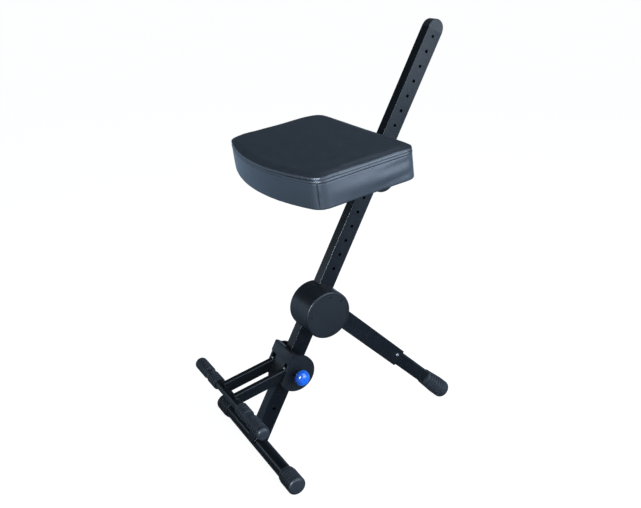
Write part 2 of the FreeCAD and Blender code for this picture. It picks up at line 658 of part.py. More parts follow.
node("hub_cover", cut(rounded_drum(HUB, S.hub_radius, cover_x, S.hub_near, S.hub_round, 1),
                      rod(HUB, S.hub_radius - S.cover_rim, cover_face, S.hub_near + PAST),
                      cover_ways, *cover_sinks))
node("hub_cover_screws", group(*[
    fuse(rod(HUB, S.screw_head, cover_face - S.screw_head_height, cover_face, y, z),
         rod(HUB, S.screw_radius, disc_end + S.screw_tip, cover_face - PAST, y, z))
    for y, z in cover_screws]))

# rear leg
leg_tube = place(bar_body(S.post_width, S.post_depth, S.leg_mouth - S.leg_start, S.post_corner),
                 LEG, leg_x, leg_y, S.leg_start)
leg_hollow = place(bar_body(inner_width, inner_depth, S.leg_mouth - S.leg_start + 2 * PAST,
                            S.post_corner / 2), LEG, leg_x, leg_y, S.leg_start - PAST)
leg_screw = (leg_y - S.leg_screw_rise, S.leg_mouth - S.leg_screw_back)
leg_near = leg_x + half_width
node("leg_outer_tube", cut(leg_tube, leg_hollow,
                           rod(LEG, S.screw_radius + S.pin_fit, leg_x, leg_near + PAST, *leg_screw)))
bush_start = S.leg_mouth - S.bush_length
bush = place(bar_body(inner_width - 2 * S.seat_fit, inner_depth - 2 * S.seat_fit, S.bush_length,
                      S.post_corner / 2), LEG, leg_x, leg_y, bush_start)
bush_way = place(bar_body(S.slider_width + 2 * S.slide_gap, S.slider_depth + 2 * S.slide_gap,
                          S.bush_length + 2 * PAST, S.slider_corner), LEG, leg_x, leg_y, bush_start - PAST)
node("leg_bush", cut(bush, bush_way,
                     rod(LEG, S.screw_radius + S.pin_fit, leg_x, leg_near + PAST, *leg_screw)))
bush_inside = leg_x + S.slider_width / 2 + S.slide_gap
leg_screw_out = leg_near + S.screw_head_height
node("leg_clamp_screw", fuse(rod(LEG, S.screw_radius, bush_inside, leg_near + PAST, *leg_screw),
                             rod(LEG, S.screw_head, leg_near, leg_screw_out, *leg_screw)))

# the rear foot's end comes from the floor: its rounded rim is cut flat there
leg_drop = HUB.z + S.leg_offset * sine(S.leg_angle)
rim_drop = (S.rear_foot_radius - S.foot_round) * sine(S.leg_angle) + S.foot_round
leg_end = S.foot_round + (leg_drop - rim_drop + S.rear_foot_flat) / cosine(S.leg_angle)
rear_foot_start = leg_end - S.rear_foot_length
slider_start = S.leg_mouth - S.slider_overlap
slider_end = leg_end - S.foot_end
slider = place(bar_body(S.slider_width, S.slider_depth, slider_end - slider_start, S.slider_corner),
               LEG, leg_x, leg_y, slider_start)
slider_hollow = place(bar_body(S.slider_width - 2 * S.slider_wall, S.slider_depth - 2 * S.slider_wall,
                               slider_end - slider_start + 2 * PAST, S.slider_corner - S.slider_wall),
                      LEG, leg_x, leg_y, slider_start - PAST)
node("leg_inner_tube", cut(slider, slider_hollow))
boot_points = ribbed_points(S.rear_foot_length, S.slider_depth / 2 + S.foot_wall, S.rear_foot_radius,
                            S.foot_groove, S.rear_rib_pitch, S.rear_rib_width, rib_count, rib_count, True)
boot = turned_body(boot_points, S.rear_foot_length, S.foot_round)
boot.Placement = FreeCAD.Placement(FreeCAD.Vector(), FreeCAD.Rotation(FreeCAD.Vector(0, 1, 0), -90))
boot_bore = bar_body(S.slider_width + 2 * S.weld_gap, S.slider_depth + 2 * S.weld_gap,
                     S.rear_foot_length - S.foot_end + PAST, S.slider_corner)
bind(boot_bore, "Placement.Base.z", -PAST)
boot_piece = place(cut(boot, boot_bore), LEG, leg_x, leg_y, rear_foot_start)
floor_cut = box(FLOOR, leg_x - S.rear_foot_length, leg_x + S.rear_foot_length,
                LEG.point(leg_y, rear_foot_start)[0], LEG.point(leg_y, leg_end)[0] + S.rear_foot_radius,
                -2 * S.rear_foot_radius, 0)
guide_x = half_width + S.slide_gap
cheek_x = guide_x + S.guide_thick
cheek_out = cheek_x + S.cheek_thick
flat_x = cheek_out + S.rear_foot_pass
pass_cut = box(LEG, leg_x - S.rear_foot_length, flat_x, leg_y - S.rear_foot_length, leg_y + S.rear_foot_length,
               rear_foot_start - PAST, leg_end + PAST)
node("rear_foot", cut(boot_piece, floor_cut, pass_cut))

# seat


def seat_outline(inset, height):
    """the seat's plan at one height: bowed front, drawn-in sides, rounded rear corners"""
    back = -inset
    half_back = S.seat_half_back.value - inset
    half_front = S.seat_half_front.value - inset
    front_side = inset - S.seat_side_depth.value
    front_middle = inset - S.seat_depth.value
    corner = max(S.seat_corner.value - inset, S.seat_corner.value / 3)
    soft = max(S.seat_front_corner.value - inset, S.seat_front_corner.value / 3)
    side_middle = (half_back + half_front) / 2 - S.seat_draw.value
    bow = front_side - front_middle
    bow_radius = (half_front ** 2 + bow ** 2) / (2 * bow)
    front_x = half_front - soft
    front_y = front_middle + bow_radius - math.sqrt(bow_radius ** 2 - front_x ** 2)

    def at(x, y):
        return FreeCAD.Vector(x, y, height)

    turn = corner * math.sin(math.radians(45))
    knee_share = 0.41  # a round corner's middle lies this far from its chord to the sharp corner
    curves = [Part.Arc(at(-front_x, front_y), at(0, front_middle), at(front_x, front_y))]
    for side in (1, -1):
        sharp = at(side * half_front, front_side)
        front_end = at(side * front_x, front_y)
        side_start = at(side * half_front, front_side + soft)
        front_knee = (front_end + side_start) * (0.5 * (1 - knee_share)) + sharp * knee_share
        side_end = at(side * half_back, back - corner)
        back_end = at(side * (half_back - corner), back)
        back_knee = at(side * (half_back - corner + turn), back - corner + turn)
        bulge = at(side * side_middle, (front_side + soft + back - corner) / 2)
        curves += [Part.Arc(front_end, front_knee, side_start), Part.Arc(side_start, bulge, side_end),
                   Part.Arc(side_end, back_knee, back_end)]
    back_line = Part.LineSegment(at(half_back - corner, back), at(corner - half_back, back))
    return Part.Wire(Part.__sortEdges__([curve.toShape() for curve in [*curves, back_line]]))


def seat_loft(levels):
    return Part.makeLoft([seat_outline(inset, height) for inset, height in levels], True, True)


def seat_solid(label, shape):
    obj = doc.addObject("Part::Feature", "seat_piece")
    obj.Shape = shape
    place(obj, SEAT)
    return node(label, obj)


seat_bottom = -S.seat_height.value
crown = S.seat_crown.value
board_top = seat_bottom + S.board_thick.value
hem = S.board_inset.value - S.seat_fit.value
tuck = S.seat_tuck.value
edge_round = S.seat_edge.value
# each level is how far the outline is drawn in, and its height: lower edge, side, top edge, crown
cushion_levels = [(tuck, seat_bottom), (0.2 * tuck, seat_bottom + 2 * tuck), (0, -2 * edge_round),
                  (0.3 * edge_round, -0.6 * edge_round), (edge_round, 0)]
cushion_levels += [(S.crown_reach.value * share, crown * rise)
                   for share, rise in ((0.27, 0.45), (0.6, 0.8), (1, 1))]
board_room = seat_loft([(hem, seat_bottom - PAST), (hem, board_top)])
seat_solid("seat_cushion", seat_loft(cushion_levels).cut(board_room))
board_inset = S.board_inset.value
board = seat_loft([(board_inset, seat_bottom), (board_inset, board_top)])
plate_low = -S.seat_height - S.seat_plate_thick
plate_screws = [(side * (S.plate_half - S.plate_screw_edge), -end) for side in (1, -1)
                for end in (S.plate_back + S.plate_screw_edge, S.plate_front - S.plate_screw_edge)]
pilot_depth = (S.board_thick - S.screw_short).value
for x, y in plate_screws:
    pilot = Part.makeCylinder(S.screw_radius.value + S.pin_fit.value, pilot_depth + PAST,
                              FreeCAD.Vector(x.value, y.value, seat_bottom - PAST))
    board = board.cut(pilot)
seat_solid("seat_board", board)


stud_top = -S.seat_height + S.board_thick - S.screw_short
steel_plate = box(SEAT, -S.plate_half, S.plate_half, -S.plate_front, -S.plate_back, plate_low, -S.seat_height)
node("seat_plate", cut(steel_plate, *[stud(SEAT, S.screw_radius + S.pin_fit, x, y, plate_low - PAST, stud_top)
                                      for x, y in plate_screws]))
node("seat_screws", group(*[
    fuse(stud(SEAT, S.screw_radius, x, y, plate_low - PAST, stud_top),
         stud(SEAT, S.screw_head, x, y, plate_low - S.screw_head_height, plate_low)) for x, y in plate_screws]))

# seat carriage: cheeks, guides, rollers
tilt = S.lean + S.seat_angle


def seat_to_post(y, z):
    """a point of the seat's frame, in the post's frame"""
    c, s = cosine(tilt), sine(tilt)
    return S.seat_k + c * y - s * z, seat_s + s * y + c * z


roller_k = half_depth + S.slide_gap + S.roller_radius
front_roller = (-roller_k, pin_s + S.roller_front_rise)
rear_roller = (roller_k, pin_s + S.roller_rear_rise)
lug = 2 * S.roller_radius
tail_s = pin_s + S.cheek_tail_rise
cheek_points = [seat_to_post(-S.cheek_front, plate_low), seat_to_post(-S.plate_back, plate_low),
                (S.cheek_tail_k, tail_s + S.cheek_tail), (S.cheek_tail_k, tail_s - S.cheek_tail),
                (-roller_k, front_roller[1] - lug), seat_to_post(-S.cheek_front, plate_low - S.cheek_nose)]
guide_low = pin_s - S.guide_down
guide_high = pin_s + S.guide_up
for side_name, side in SIDES:
    inner = cheek_x if side > 0 else -cheek_out
    outer = inner + S.cheek_thick
    cheek = fuse(place(plate_body(cheek_points, S.cheek_thick), POST, inner),
                 rod(POST, S.cheek_tail, inner, outer, S.cheek_tail_k, tail_s))
    ways = [rod(POST, S.roller_bolt + S.pin_fit, inner - PAST, outer + PAST, k, s)
            for k, s in (front_roller, rear_roller)]
    pin_way = rod(POST, S.pin_radius + S.pin_fit, -cheek_out - PAST, cheek_out + PAST, 0, pin_s)
    node(f"seat_cheek_{side_name}", cut(cheek, *ways, pin_way) if side < 0 else cut(cheek, *ways))
    guide_in = guide_x if side > 0 else -cheek_x
    guide = box(POST, guide_in, guide_in + S.guide_thick, S.guide_edge - half_depth, half_depth - S.guide_edge,
                guide_low, guide_high)
    guide_way = rod(POST, S.pin_radius + S.pin_fit, -cheek_out - PAST, cheek_out + PAST, 0, pin_s)
    node(f"seat_guide_{side_name}", cut(guide, guide_way) if side < 0 else guide)
roller_end = cheek_x - S.seat_fit
for roller_name, (k, s) in (("front", front_roller), ("rear", rear_roller)):
    roller_bore = rod(POST, S.roller_bolt + S.pin_fit, -roller_end - PAST, roller_end + PAST, k, s)
    roller = rod(POST, S.roller_radius, -roller_end, roller_end, k, s)
    node(f"seat_{roller_name}_roller", cut(roller, roller_bore))
node("seat_roller_bolts", group(*[
    fuse(rod(POST, S.roller_bolt, -cheek_out - PAST, cheek_out, k, s),
         rod(POST, S.roller_head, -cheek_out - S.roller_head_height, -cheek_out, k, s))
    for k, s in (front_roller, rear_roller)]))


# lock plungers of the seat and the footrest

def lock_plunger(name, side, s, face, barrel):
    """barrel, pin, spring and knob on a cheek's outer face, on the side that they point to"""
    def run(radius, a, b):
        start, end = (a, b) if side > 0 else (-b, -a)
        return rod(POST, radius, start, end, 0, s)

    barrel_end = face + barrel
    collar = face + S.seat_fit
    tip = half_width + S.slide_gap
    knob_in = barrel_end + S.slide_gap
    socket = knob_in + S.knob_socket
    node(f"{name}_barrel", cut(run(S.boss_outer, face, barrel_end),
                               run(S.pin_collar + S.slide_gap, face - PAST, barrel_end - S.boss_wall),
                               run(S.pin_radius + S.pin_fit, face, barrel_end + PAST)))
    node(f"{name}_pin", fuse(run(S.pin_radius, tip, socket),
                             run(S.pin_collar, collar, collar + S.pin_collar_length)))
    node(f"{name}_spring", cut(run(S.spring_outer, collar + S.pin_collar_length, barrel_end - S.boss_wall),
                               run(S.spring_inner, collar, barrel_end)))
    length = S.knob_length
    knob = turned_body([(0, 0), (0, S.boss_outer), (S.boss_wall, S.knob_radius), (length, S.knob_radius),
                        (length, 0)], length, S.knob_round)
    facing(knob, POST, knob_in if side > 0 else -knob_in, 0, s, side)
    node(f"{name}_knob", cut(knob, run(S.pin_radius + S.pin_fit, knob_in - PAST, socket)))


lock_plunger("seat_lock", -1, pin_s, cheek_out, S.seat_barrel)
lock_plunger("footrest_lock", 1, S.rest_s, S.rest_half, S.rest_barrel)

# footrest clamp
clamp_in = S.rest_half - S.rest_cheek_thick
arm_out = clamp_in - S.arm_gap
arm_in = arm_out - S.arm_width
arm_mid = arm_out - S.arm_width / 2
web_back = half_depth + S.slide_gap
rear_bolt_k = half_depth + S.slide_gap + S.roller_radius
clamp_cheeks = []
for side in (1, -1):
    ends = (clamp_in, S.rest_half) if side > 0 else (-S.rest_half, -clamp_in)
    round_cheek = rod(REST, S.rest_cheek, *ends)
    flat_front = box(REST, *ends, S.rest_cheek_set - S.rest_front, S.rest_cheek + PAST,
                     -S.rest_cheek - PAST, S.rest_cheek + PAST)
    clamp_cheeks.append(common(round_cheek, flat_front))
    ends = (guide_x, clamp_in + PAST) if side > 0 else (-clamp_in - PAST, -guide_x)
    flange_low = S.liner_up + S.seat_fit
    clamp_cheeks.append(box(REST, *ends, -web_back - PAST, half_depth, flange_low, flange_low + S.rest_flange))
front_plate = box(REST, -S.rest_half, S.rest_half, -S.rest_front, -web_back, S.rest_lip, S.rest_top)
web = box(REST, S.seat_fit - arm_in, arm_in - S.seat_fit, -web_back - S.rest_web, -web_back,
          -S.rest_web_drop, S.rest_lip + PAST)
lock_way = rod(REST, S.pin_radius + S.pin_fit, clamp_in - PAST, S.rest_half + PAST)
bolt_way = rod(REST, S.roller_bolt + S.pin_fit, -S.rest_half - PAST, S.rest_half - S.bolt_cover,
               rear_bolt_k, S.rear_bolt_rise)
plate_screw = (-(S.rest_front + web_back) / 2, S.rest_top - S.clamp_screw_down)
screw_inner = S.rest_half - S.clamp_screw_depth
screw_spots = [rod(REST, S.screw_radius + S.pin_fit, *ends, *plate_screw)
               for ends in ((screw_inner, S.rest_half + PAST), (-S.rest_half - PAST, -screw_inner))]
node("footrest_clamp", cut(fuse(*clamp_cheeks, front_plate, web), lock_way, bolt_way, *screw_spots))
node("footrest_clamp_screws", group(
    fuse(rod(REST, S.screw_radius, screw_inner, S.rest_half + PAST, *plate_screw),
         rod(REST, S.screw_head, S.rest_half, S.rest_half + S.screw_head_height, *plate_screw)),
    fuse(rod(REST, S.screw_radius, -S.rest_half - PAST, -screw_inner, *plate_screw),
         rod(REST, S.screw_head, -S.rest_half - S.screw_head_height, -S.rest_half, *plate_screw))))
spacer_end = clamp_in - S.seat_fit
node("footrest_roller", cut(rod(REST, S.roller_radius, -spacer_end, spacer_end, rear_bolt_k, S.rear_bolt_rise),
                            rod(REST, S.roller_bolt + S.pin_fit, -spacer_end - PAST, spacer_end + PAST,
                                rear_bolt_k, S.rear_bolt_rise)))
node("footrest_roller_bolt", fuse(rod(REST, S.roller_bolt, -S.rest_half - PAST,
                                      S.rest_half - S.bolt_cover - S.seat_fit, rear_bolt_k, S.rear_bolt_rise),
                                  rod(REST, S.roller_head, -S.rest_half - S.roller_head_height, -S.rest_half,
                                      rear_bolt_k, S.rear_bolt_rise)))
for side_name, side in SIDES:
    ends = (guide_x, arm_in - S.seat_fit) if side > 0 else (S.seat_fit - arm_in, -guide_x)
    liner = box(REST, *ends, -S.liner_half, S.liner_half, -S.liner_down, S.liner_up)
    liner_way = rod(REST, S.pin_radius + S.pin_fit, guide_x - PAST, arm_in)
    node(f"footrest_liner_{side_name}", cut(liner, liner_way) if side > 0 else liner)

# footrest arms, bar and grips
ARM_RUN = Frame(ARM.y, ARM.z, S.arm_angle + 90)
arm_reach = S.arm_length + S.arm_tail
arm_top = S.arm_depth / 2
bar_at = (-S.arm_length, -S.rest_bar_drop)
for side_name, side in SIDES:
    ends = (arm_in, arm_out) if side > 0 else (-arm_out, -arm_in)
    arm = place(bar_body(S.arm_width, S.arm_depth, arm_reach, S.arm_corner),
                ARM_RUN, side * arm_mid, 0, -S.arm_tail)
    arm_room = place(bar_body(S.arm_width - 2 * S.arm_wall, S.arm_depth - 2 * S.arm_wall, arm_reach + 2 * PAST,
                              S.arm_corner - S.arm_wall), ARM_RUN, side * arm_mid, 0, -S.arm_tail - PAST)
    tools = [arm_room, rod(ARM, S.rest_bar_radius + S.weld_gap, *ends, *bar_at),
             stud(ARM, S.screw_radius + S.pin_fit, side * arm_mid, -S.arm_screw_at, 0, arm_top + PAST)]
    if side > 0:
        tools.append(rod(REST, S.pin_radius + S.pin_fit, arm_in - PAST, arm_out + PAST))
    node(f"footrest_arm_{side_name}", cut(arm, *tools))
node("footrest_arm_screws", group(*[
    fuse(stud(ARM, S.screw_radius, side * arm_mid, -S.arm_screw_at, arm_top - S.arm_screw_length,
              arm_top + PAST),
         stud(ARM, S.arm_screw_head, side * arm_mid, -S.arm_screw_at, arm_top, arm_top + S.screw_head_height))
    for side in (1, -1)]))
node("footrest_bar", cut(rod(ARM, S.rest_bar_radius, -S.rest_bar_half, S.rest_bar_half, *bar_at),
                         rod(ARM, S.rest_bar_radius - S.rest_bar_wall, -S.rest_bar_half - PAST,
                             S.rest_bar_half + PAST, *bar_at)))
sleeve_end = S.sleeve_start + S.sleeve_length
cap_start = sleeve_end + S.grip_gap
for side_name, side in SIDES:
    for piece, start, length, count, closed in (
            ("sleeve", S.sleeve_start, S.sleeve_length, int(S.sleeve_rib_count.value), False),
            ("end_cap", cap_start, S.end_cap_length, rib_count, True)):
        points = ribbed_points(length, S.grip_radius - S.grip_groove, S.grip_radius, S.grip_groove,
                               S.rib_pitch, S.rib_width, count, 1, closed)
        rubber = turned_body(points, length if closed else None, S.grip_round)
        facing(rubber, ARM, side * start, *bar_at, side)
        deep = S.rest_bar_half if closed else start + length + PAST
        ends = (start - PAST, deep) if side > 0 else (-deep, PAST - start)
        bore = rod(ARM, S.rest_bar_radius + S.weld_gap, *ends, *bar_at)
        node(f"footrest_{piece}_{side_name}", cut(rubber, bore))

# every object has to be sound before anything is written
doc.recompute()
faults = [obj.Label for obj in doc.Objects if "Invalid" in obj.State or "Error" in obj.State]
for obj in nodes:
    if obj.Shape.isNull() or not obj.Shape.isValid() or not obj.Shape.Solids:
        faults.append(obj.Label)
if faults:
    raise RuntimeError("unsound: " + ", ".join(faults))

os.makedirs("parts", exist_ok=True)
whole = FreeCAD.BoundBox()
for obj in nodes:
    obj.Shape.exportStep(f"parts/{obj.Label}.step")
    whole.add(obj.Shape.BoundBox)
print(len(nodes), "nodes")
corners = (whole.XMin, whole.XMax, whole.YMin, whole.YMax, whole.ZMin, whole.ZMax)
print("box", [round(value, 2) for value in corners])
for name, frame in (("post", POST), ("hub", HUB), ("leg", LEG), ("seat", SEAT), ("footrest", REST)):
    at = [round(value, 3) for value in (frame.y.value, frame.z.value, frame.angle.value)]
    print(name, "y, z and turn", at)
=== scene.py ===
# %% [markdown]
# # A folding guitar stool
# The stool is a leaning square post on a floor bar. A padded seat and a small footrest slide on the post
# and lock in its holes, and a rear leg folds at a round hub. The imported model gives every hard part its
# size and place. This lesson dresses it: rubber, vinyl, moulded plastic, powder coat, weld beads and light.

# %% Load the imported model
import json
import math
import bmesh
import bpy
from mathutils import Matrix, Vector


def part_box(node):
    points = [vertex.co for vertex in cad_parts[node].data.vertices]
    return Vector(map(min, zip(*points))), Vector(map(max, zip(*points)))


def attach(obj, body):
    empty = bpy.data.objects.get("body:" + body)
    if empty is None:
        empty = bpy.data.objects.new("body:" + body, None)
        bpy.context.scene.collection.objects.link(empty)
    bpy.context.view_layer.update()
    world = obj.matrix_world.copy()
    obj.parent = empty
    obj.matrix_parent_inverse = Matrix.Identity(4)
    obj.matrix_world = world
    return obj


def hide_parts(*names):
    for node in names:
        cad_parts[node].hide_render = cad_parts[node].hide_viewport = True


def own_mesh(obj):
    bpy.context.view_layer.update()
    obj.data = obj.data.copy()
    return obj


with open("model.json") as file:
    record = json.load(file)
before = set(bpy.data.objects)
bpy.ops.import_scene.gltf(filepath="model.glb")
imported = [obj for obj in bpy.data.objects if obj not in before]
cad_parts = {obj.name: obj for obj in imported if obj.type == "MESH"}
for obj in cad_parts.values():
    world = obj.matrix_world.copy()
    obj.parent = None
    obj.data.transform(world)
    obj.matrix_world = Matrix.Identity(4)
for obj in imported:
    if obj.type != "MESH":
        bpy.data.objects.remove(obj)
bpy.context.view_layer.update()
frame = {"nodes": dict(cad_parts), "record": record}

nodes = frame["nodes"]

# %% [markdown]
# ## Where things are
# Blender works in metres here. Most pieces are easiest to shape lying straight, so each one is made in its
# own flat frame and then carried to its place by a matrix. The post leans back, the seat tips forward a
# little, and the rear leg slopes to the floor, so there is one matrix for each of them.

# %% Frames of the post, the hub, the seat and the rear leg
LEAN = math.radians(26.6)
LEG_ANGLE = math.radians(47.3)
SEAT_PITCH = math.radians(8.4)
FOOT_Y = -0.22972
# up along the post, from the floor, and ahead of it
HUB_UP = 0.357
SEAT_UP = 0.7521
SEAT_AHEAD = 0.062


def turned_about_x(place, angle):
    return Matrix.Translation(place) @ Matrix.Rotation(angle, 4, "X")


post = turned_about_x(Vector((0, FOOT_Y, 0)), -LEAN)
hub = turned_about_x(post @ Vector((0, 0, HUB_UP)), -LEAN)
seat = turned_about_x(post @ Vector((0, -SEAT_AHEAD, SEAT_UP)), SEAT_PITCH)
rear_leg = turned_about_x(hub.translation, math.pi + LEG_ANGLE)
for name, matrix in (("hub", hub), ("seat", seat)):
    print(name, tuple(round(v, 4) for v in matrix.translation))

# %% [markdown]
# ## Shader sums written as Python
# A finish is a small sum of textures. A socket that knows Python's operators keeps such sums readable, and
# one method makes every node from its type, its settings and its inputs.

# %% A socket with operators, and a node tree
class Term:
    """A node's output that can be added to and multiplied by numbers and other outputs."""

    def __init__(self, owner, socket):
        self.owner = owner
        self.socket = socket

    def sum(self, operation, other):
        return self.owner.add("ShaderNodeMath", {"operation": operation}, {0: self, 1: other})

    def __add__(self, other):
        return self.sum("ADD", other)

    def __mul__(self, other):
        return self.sum("MULTIPLY", other)

    __radd__ = __add__
    __rmul__ = __mul__


class Nodes:
    """A node tree and the steps that fill it."""

    def __init__(self, tree):
        self.tree = tree

    def add(self, kind, settings=None, inputs=None, out=0):
        made = self.tree.nodes.new(kind)
        for key, value in (settings or {}).items():
            setattr(made, key, value)
        for key, value in (inputs or {}).items():
            self.feed(made.inputs[key], value)
        return Term(self, made.outputs[out])

    def feed(self, socket, value):
        if isinstance(value, Term):
            self.tree.links.new(value.socket, socket)
        else:
            socket.default_value = value

    def between(self, value, low, high):
        """the share of the way from low to high, held between 0 and 1"""
        limits = {"Value": value, "From Min": low, "From Max": high}
        return self.add("ShaderNodeMapRange", inputs=limits)

    def blend(self, share, first, second):
        """a colour between two others"""
        ends = {"Factor": share, 6: first, 7: second}
        return self.add("ShaderNodeMix", {"data_type": "RGBA"}, ends, out=2)

    def ray(self, kind):
        """1 where the ray is of that kind"""
        return self.add("ShaderNodeLightPath", out=kind)


# %% [markdown]
# A finish is such a tree with one shader at its end. Its patterns read Object coordinates, so they stay in
# place on a piece when it moves.

# %% A finish
class Finish(Nodes):
    """One material: its node tree and the shader that ends it."""

    def __init__(self, name):
        self.material = bpy.data.materials.new(name)
        self.material.use_nodes = True
        super().__init__(self.material.node_tree)
        self.shader = self.tree.nodes["Principled BSDF"]
        self.place = self.add("ShaderNodeTexCoord", out="Object")

    def noise(self, scale, detail=2.0, rough=0.5, stretch=None):
        place = self.place
        if stretch:
            place = self.add("ShaderNodeMapping", inputs={"Vector": place, "Scale": stretch})
        inputs = {"Vector": place, "Scale": scale, "Detail": detail, "Roughness": rough}
        return self.add("ShaderNodeTexNoise", inputs=inputs)

    def bump(self, height, distance, strength, under=None):
        """a normal shaped by a height, on top of another bump if there is one under it"""
        inputs = {"Height": height, "Distance": distance, "Strength": strength}
        if under:
            inputs["Normal"] = under
        return self.add("ShaderNodeBump", inputs=inputs)

    def surface(self, **sockets):
        for name, value in sockets.items():
            self.feed(self.shader.inputs[name.replace("_", " ")], value)
        return self.material


def shade(*values):
    return (*values, 1.0)


# %% [markdown]
# ## Powder coat
# The tubes are black powder coat: a satin skin with a faint orange-peel ripple a few millimetres wide. A
# plain black would look like plastic, so the ripple goes into the bump, and handling marks into the
# roughness.

# %% Powder coat for the tubes
coat = Finish("powder_coat")
ripple = coat.noise(420, 2.0)
marks = coat.between(coat.noise(22, 4.0, 0.6), 0.4, 0.75)
frame_paint = coat.surface(
    Base_Color=coat.blend(marks, shade(0.0062, 0.0075, 0.0105), shade(0.0085, 0.0102, 0.0135)),
    Roughness=0.25 + marks * 0.06,
    Specular_IOR_Level=0.29,
    Normal=coat.bump(ripple, 0.0002, 0.14))
print("made", frame_paint.name)

# %% [markdown]
# ## Moulded plastic
# The hub, the clamp and the plugs are moulded in dark plastic. A spark-eroded mould leaves a fine even
# grain that spreads every highlight. A second, slower noise keeps large faces from looking printed.

# %% Slate plastic for the hub, black plastic for the plugs, grey nylon for the rollers
def moulded(name, dark, light, roughness):
    finish = Finish(name)
    grain = finish.noise(1500, 2.0, 0.6)
    cloud = finish.between(finish.noise(16, 3.0), 0.35, 0.7)
    return finish.surface(
        Base_Color=finish.blend(cloud, dark, light),
        Roughness=roughness + grain * 0.08,
        Specular_IOR_Level=0.4,
        Normal=finish.bump(grain, 0.00012, 0.4))


hub_plastic = moulded("slate_plastic", shade(0.0085, 0.0105, 0.0145), shade(0.0115, 0.014, 0.019), 0.36)
trim_plastic = moulded("black_plastic", shade(0.013, 0.0155, 0.018), shade(0.018, 0.021, 0.024), 0.42)
roller_plastic = moulded("grey_nylon", shade(0.06, 0.062, 0.066), shade(0.08, 0.082, 0.086), 0.4)
print("made", hub_plastic.name, trim_plastic.name, roller_plastic.name)

# %% [markdown]
# ## Rubber
# The feet and grips are soft black rubber: nearly matt, a little grey where dust and wear have dulled it.

# %% Rubber for feet and grips
bloom = Finish("grip_rubber")
dust = bloom.between(bloom.noise(60, 5.0, 0.65), 0.45, 0.8)
foot_rubber = bloom.surface(
    Base_Color=bloom.blend(dust, shade(0.023, 0.028, 0.037), shade(0.033, 0.039, 0.050)),
    Roughness=0.42 + dust * 0.14,
    Specular_IOR_Level=0.5,
    Normal=bloom.bump(bloom.noise(900, 3.0), 0.0002, 0.4))
print("made", foot_rubber.name)

# %% [markdown]
# ## Bare steel, black screws and plywood
# Pins and bolts are zinc plated, so their grey is bright and slightly clouded. The seat's board is birch
# plywood: long grain made by stretching a noise along one axis.

# %% Steel, screws and plywood
zinc = Finish("zinc_steel")
cloud = zinc.noise(90, 4.0, 0.6)
bare_steel = zinc.surface(
    Base_Color=zinc.blend(cloud, shade(0.26, 0.27, 0.29), shade(0.40, 0.41, 0.43)),
    Metallic=1.0,
    Roughness=0.24 + cloud * 0.16)
black_oxide = Finish("black_oxide")
oxide = black_oxide.noise(200, 3.0)
dark_screws = black_oxide.surface(
    Base_Color=black_oxide.blend(oxide, shade(0.006, 0.006, 0.007), shade(0.014, 0.014, 0.016)),
    Roughness=0.55 + oxide * 0.15,
    Specular_IOR_Level=0.2)
birch = Finish("birch_plywood")
grain = birch.noise(9, 5.0, 0.65, (14, 1.2, 1))
stripes = birch.between(grain, 0.35, 0.7)
seat_plywood = birch.surface(
    Base_Color=birch.blend(stripes, shade(0.40, 0.27, 0.155), shade(0.56, 0.41, 0.26)),
    Roughness=0.62 + grain * 0.12,
    Normal=birch.bump(grain, 0.0004, 0.4))
print("made", bare_steel.name, dark_screws.name, seat_plywood.name)

# %% [markdown]
# ## The blue knob
# One knob is bright blue and glossy, so that a hand finds it. A clear coat over a slightly clouded colour
# gives the sharp highlights of polished moulding.

# %% Blue plastic
polish = Finish("blue_plastic")
swirl = polish.noise(70, 3.0)
knob_blue = polish.surface(
    Base_Color=polish.blend(swirl, shade(0.008, 0.135, 0.78), shade(0.012, 0.165, 0.86)),
    Roughness=0.20 + swirl * 0.08,
    Coat_Weight=0.6,
    Coat_Roughness=0.08)
print("made", knob_blue.name)

# %% [markdown]
# ## Vinyl
# The seat is covered in black leathercloth. Its skin has fine pebbles about a millimetre wide, and it pulls
# into slow waves where it is stretched over the foam. Its sheen is faintly blue.

# %% Vinyl for the seat
leathercloth = Finish("black_vinyl")
pebbles = leathercloth.add("ShaderNodeTexVoronoi", {"feature": "SMOOTH_F1"},
                           {"Vector": leathercloth.place, "Scale": 900.0, "Smoothness": 0.6})
waves = leathercloth.noise(13, 1.0)
shine = leathercloth.between(leathercloth.noise(35, 4.0, 0.6), 0.35, 0.75)
skin = leathercloth.bump(pebbles, 0.00014, 0.18)
seat_vinyl = leathercloth.surface(
    Base_Color=leathercloth.blend(shine, shade(0.0095, 0.0118, 0.016), shade(0.0125, 0.0152, 0.0205)),
    Roughness=0.46 + shine * 0.08,
    Specular_IOR_Level=1.0,
    Specular_Tint=shade(0.88, 0.92, 1.0),
    Normal=leathercloth.bump(waves, 0.003, 0.12, under=skin))
print("made", seat_vinyl.name)

# %% [markdown]
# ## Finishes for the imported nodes
# The record names a material slot for every node, so one table from slot to finish dresses them all.

# %% Give every CAD node its finish
finishes = {"frame_paint": frame_paint, "hub_plastic": hub_plastic, "trim_plastic": trim_plastic,
            "roller_plastic": roller_plastic, "foot_rubber": foot_rubber, "knob_blue": knob_blue,
            "seat_vinyl": seat_vinyl, "seat_plywood": seat_plywood, "dark_screws": dark_screws,
            "bare_steel": bare_steel}
for part in frame["record"]["subparts"]:
    obj = nodes[part["node"]]
    obj.data.materials.clear()
    obj.data.materials.append(finishes[part["material_slot"]])
print("finished", len(nodes), "nodes")

# %% [markdown]
# ## From a bmesh to a piece
# Every new piece ends the same way: merge what coincides, turn the faces outwards, carry the mesh to its
# place, and say which body it rides on and which finish it takes, and hide the plain nodes it stands in
# for.

# %% Finish a piece
def plain_object(name, bm):
    mesh = bpy.data.meshes.new(name)
    bm.to_mesh(mesh)
    bm.free()
    obj = bpy.data.objects.new(name, mesh)
    bpy.context.scene.collection.objects.link(obj)
    return obj


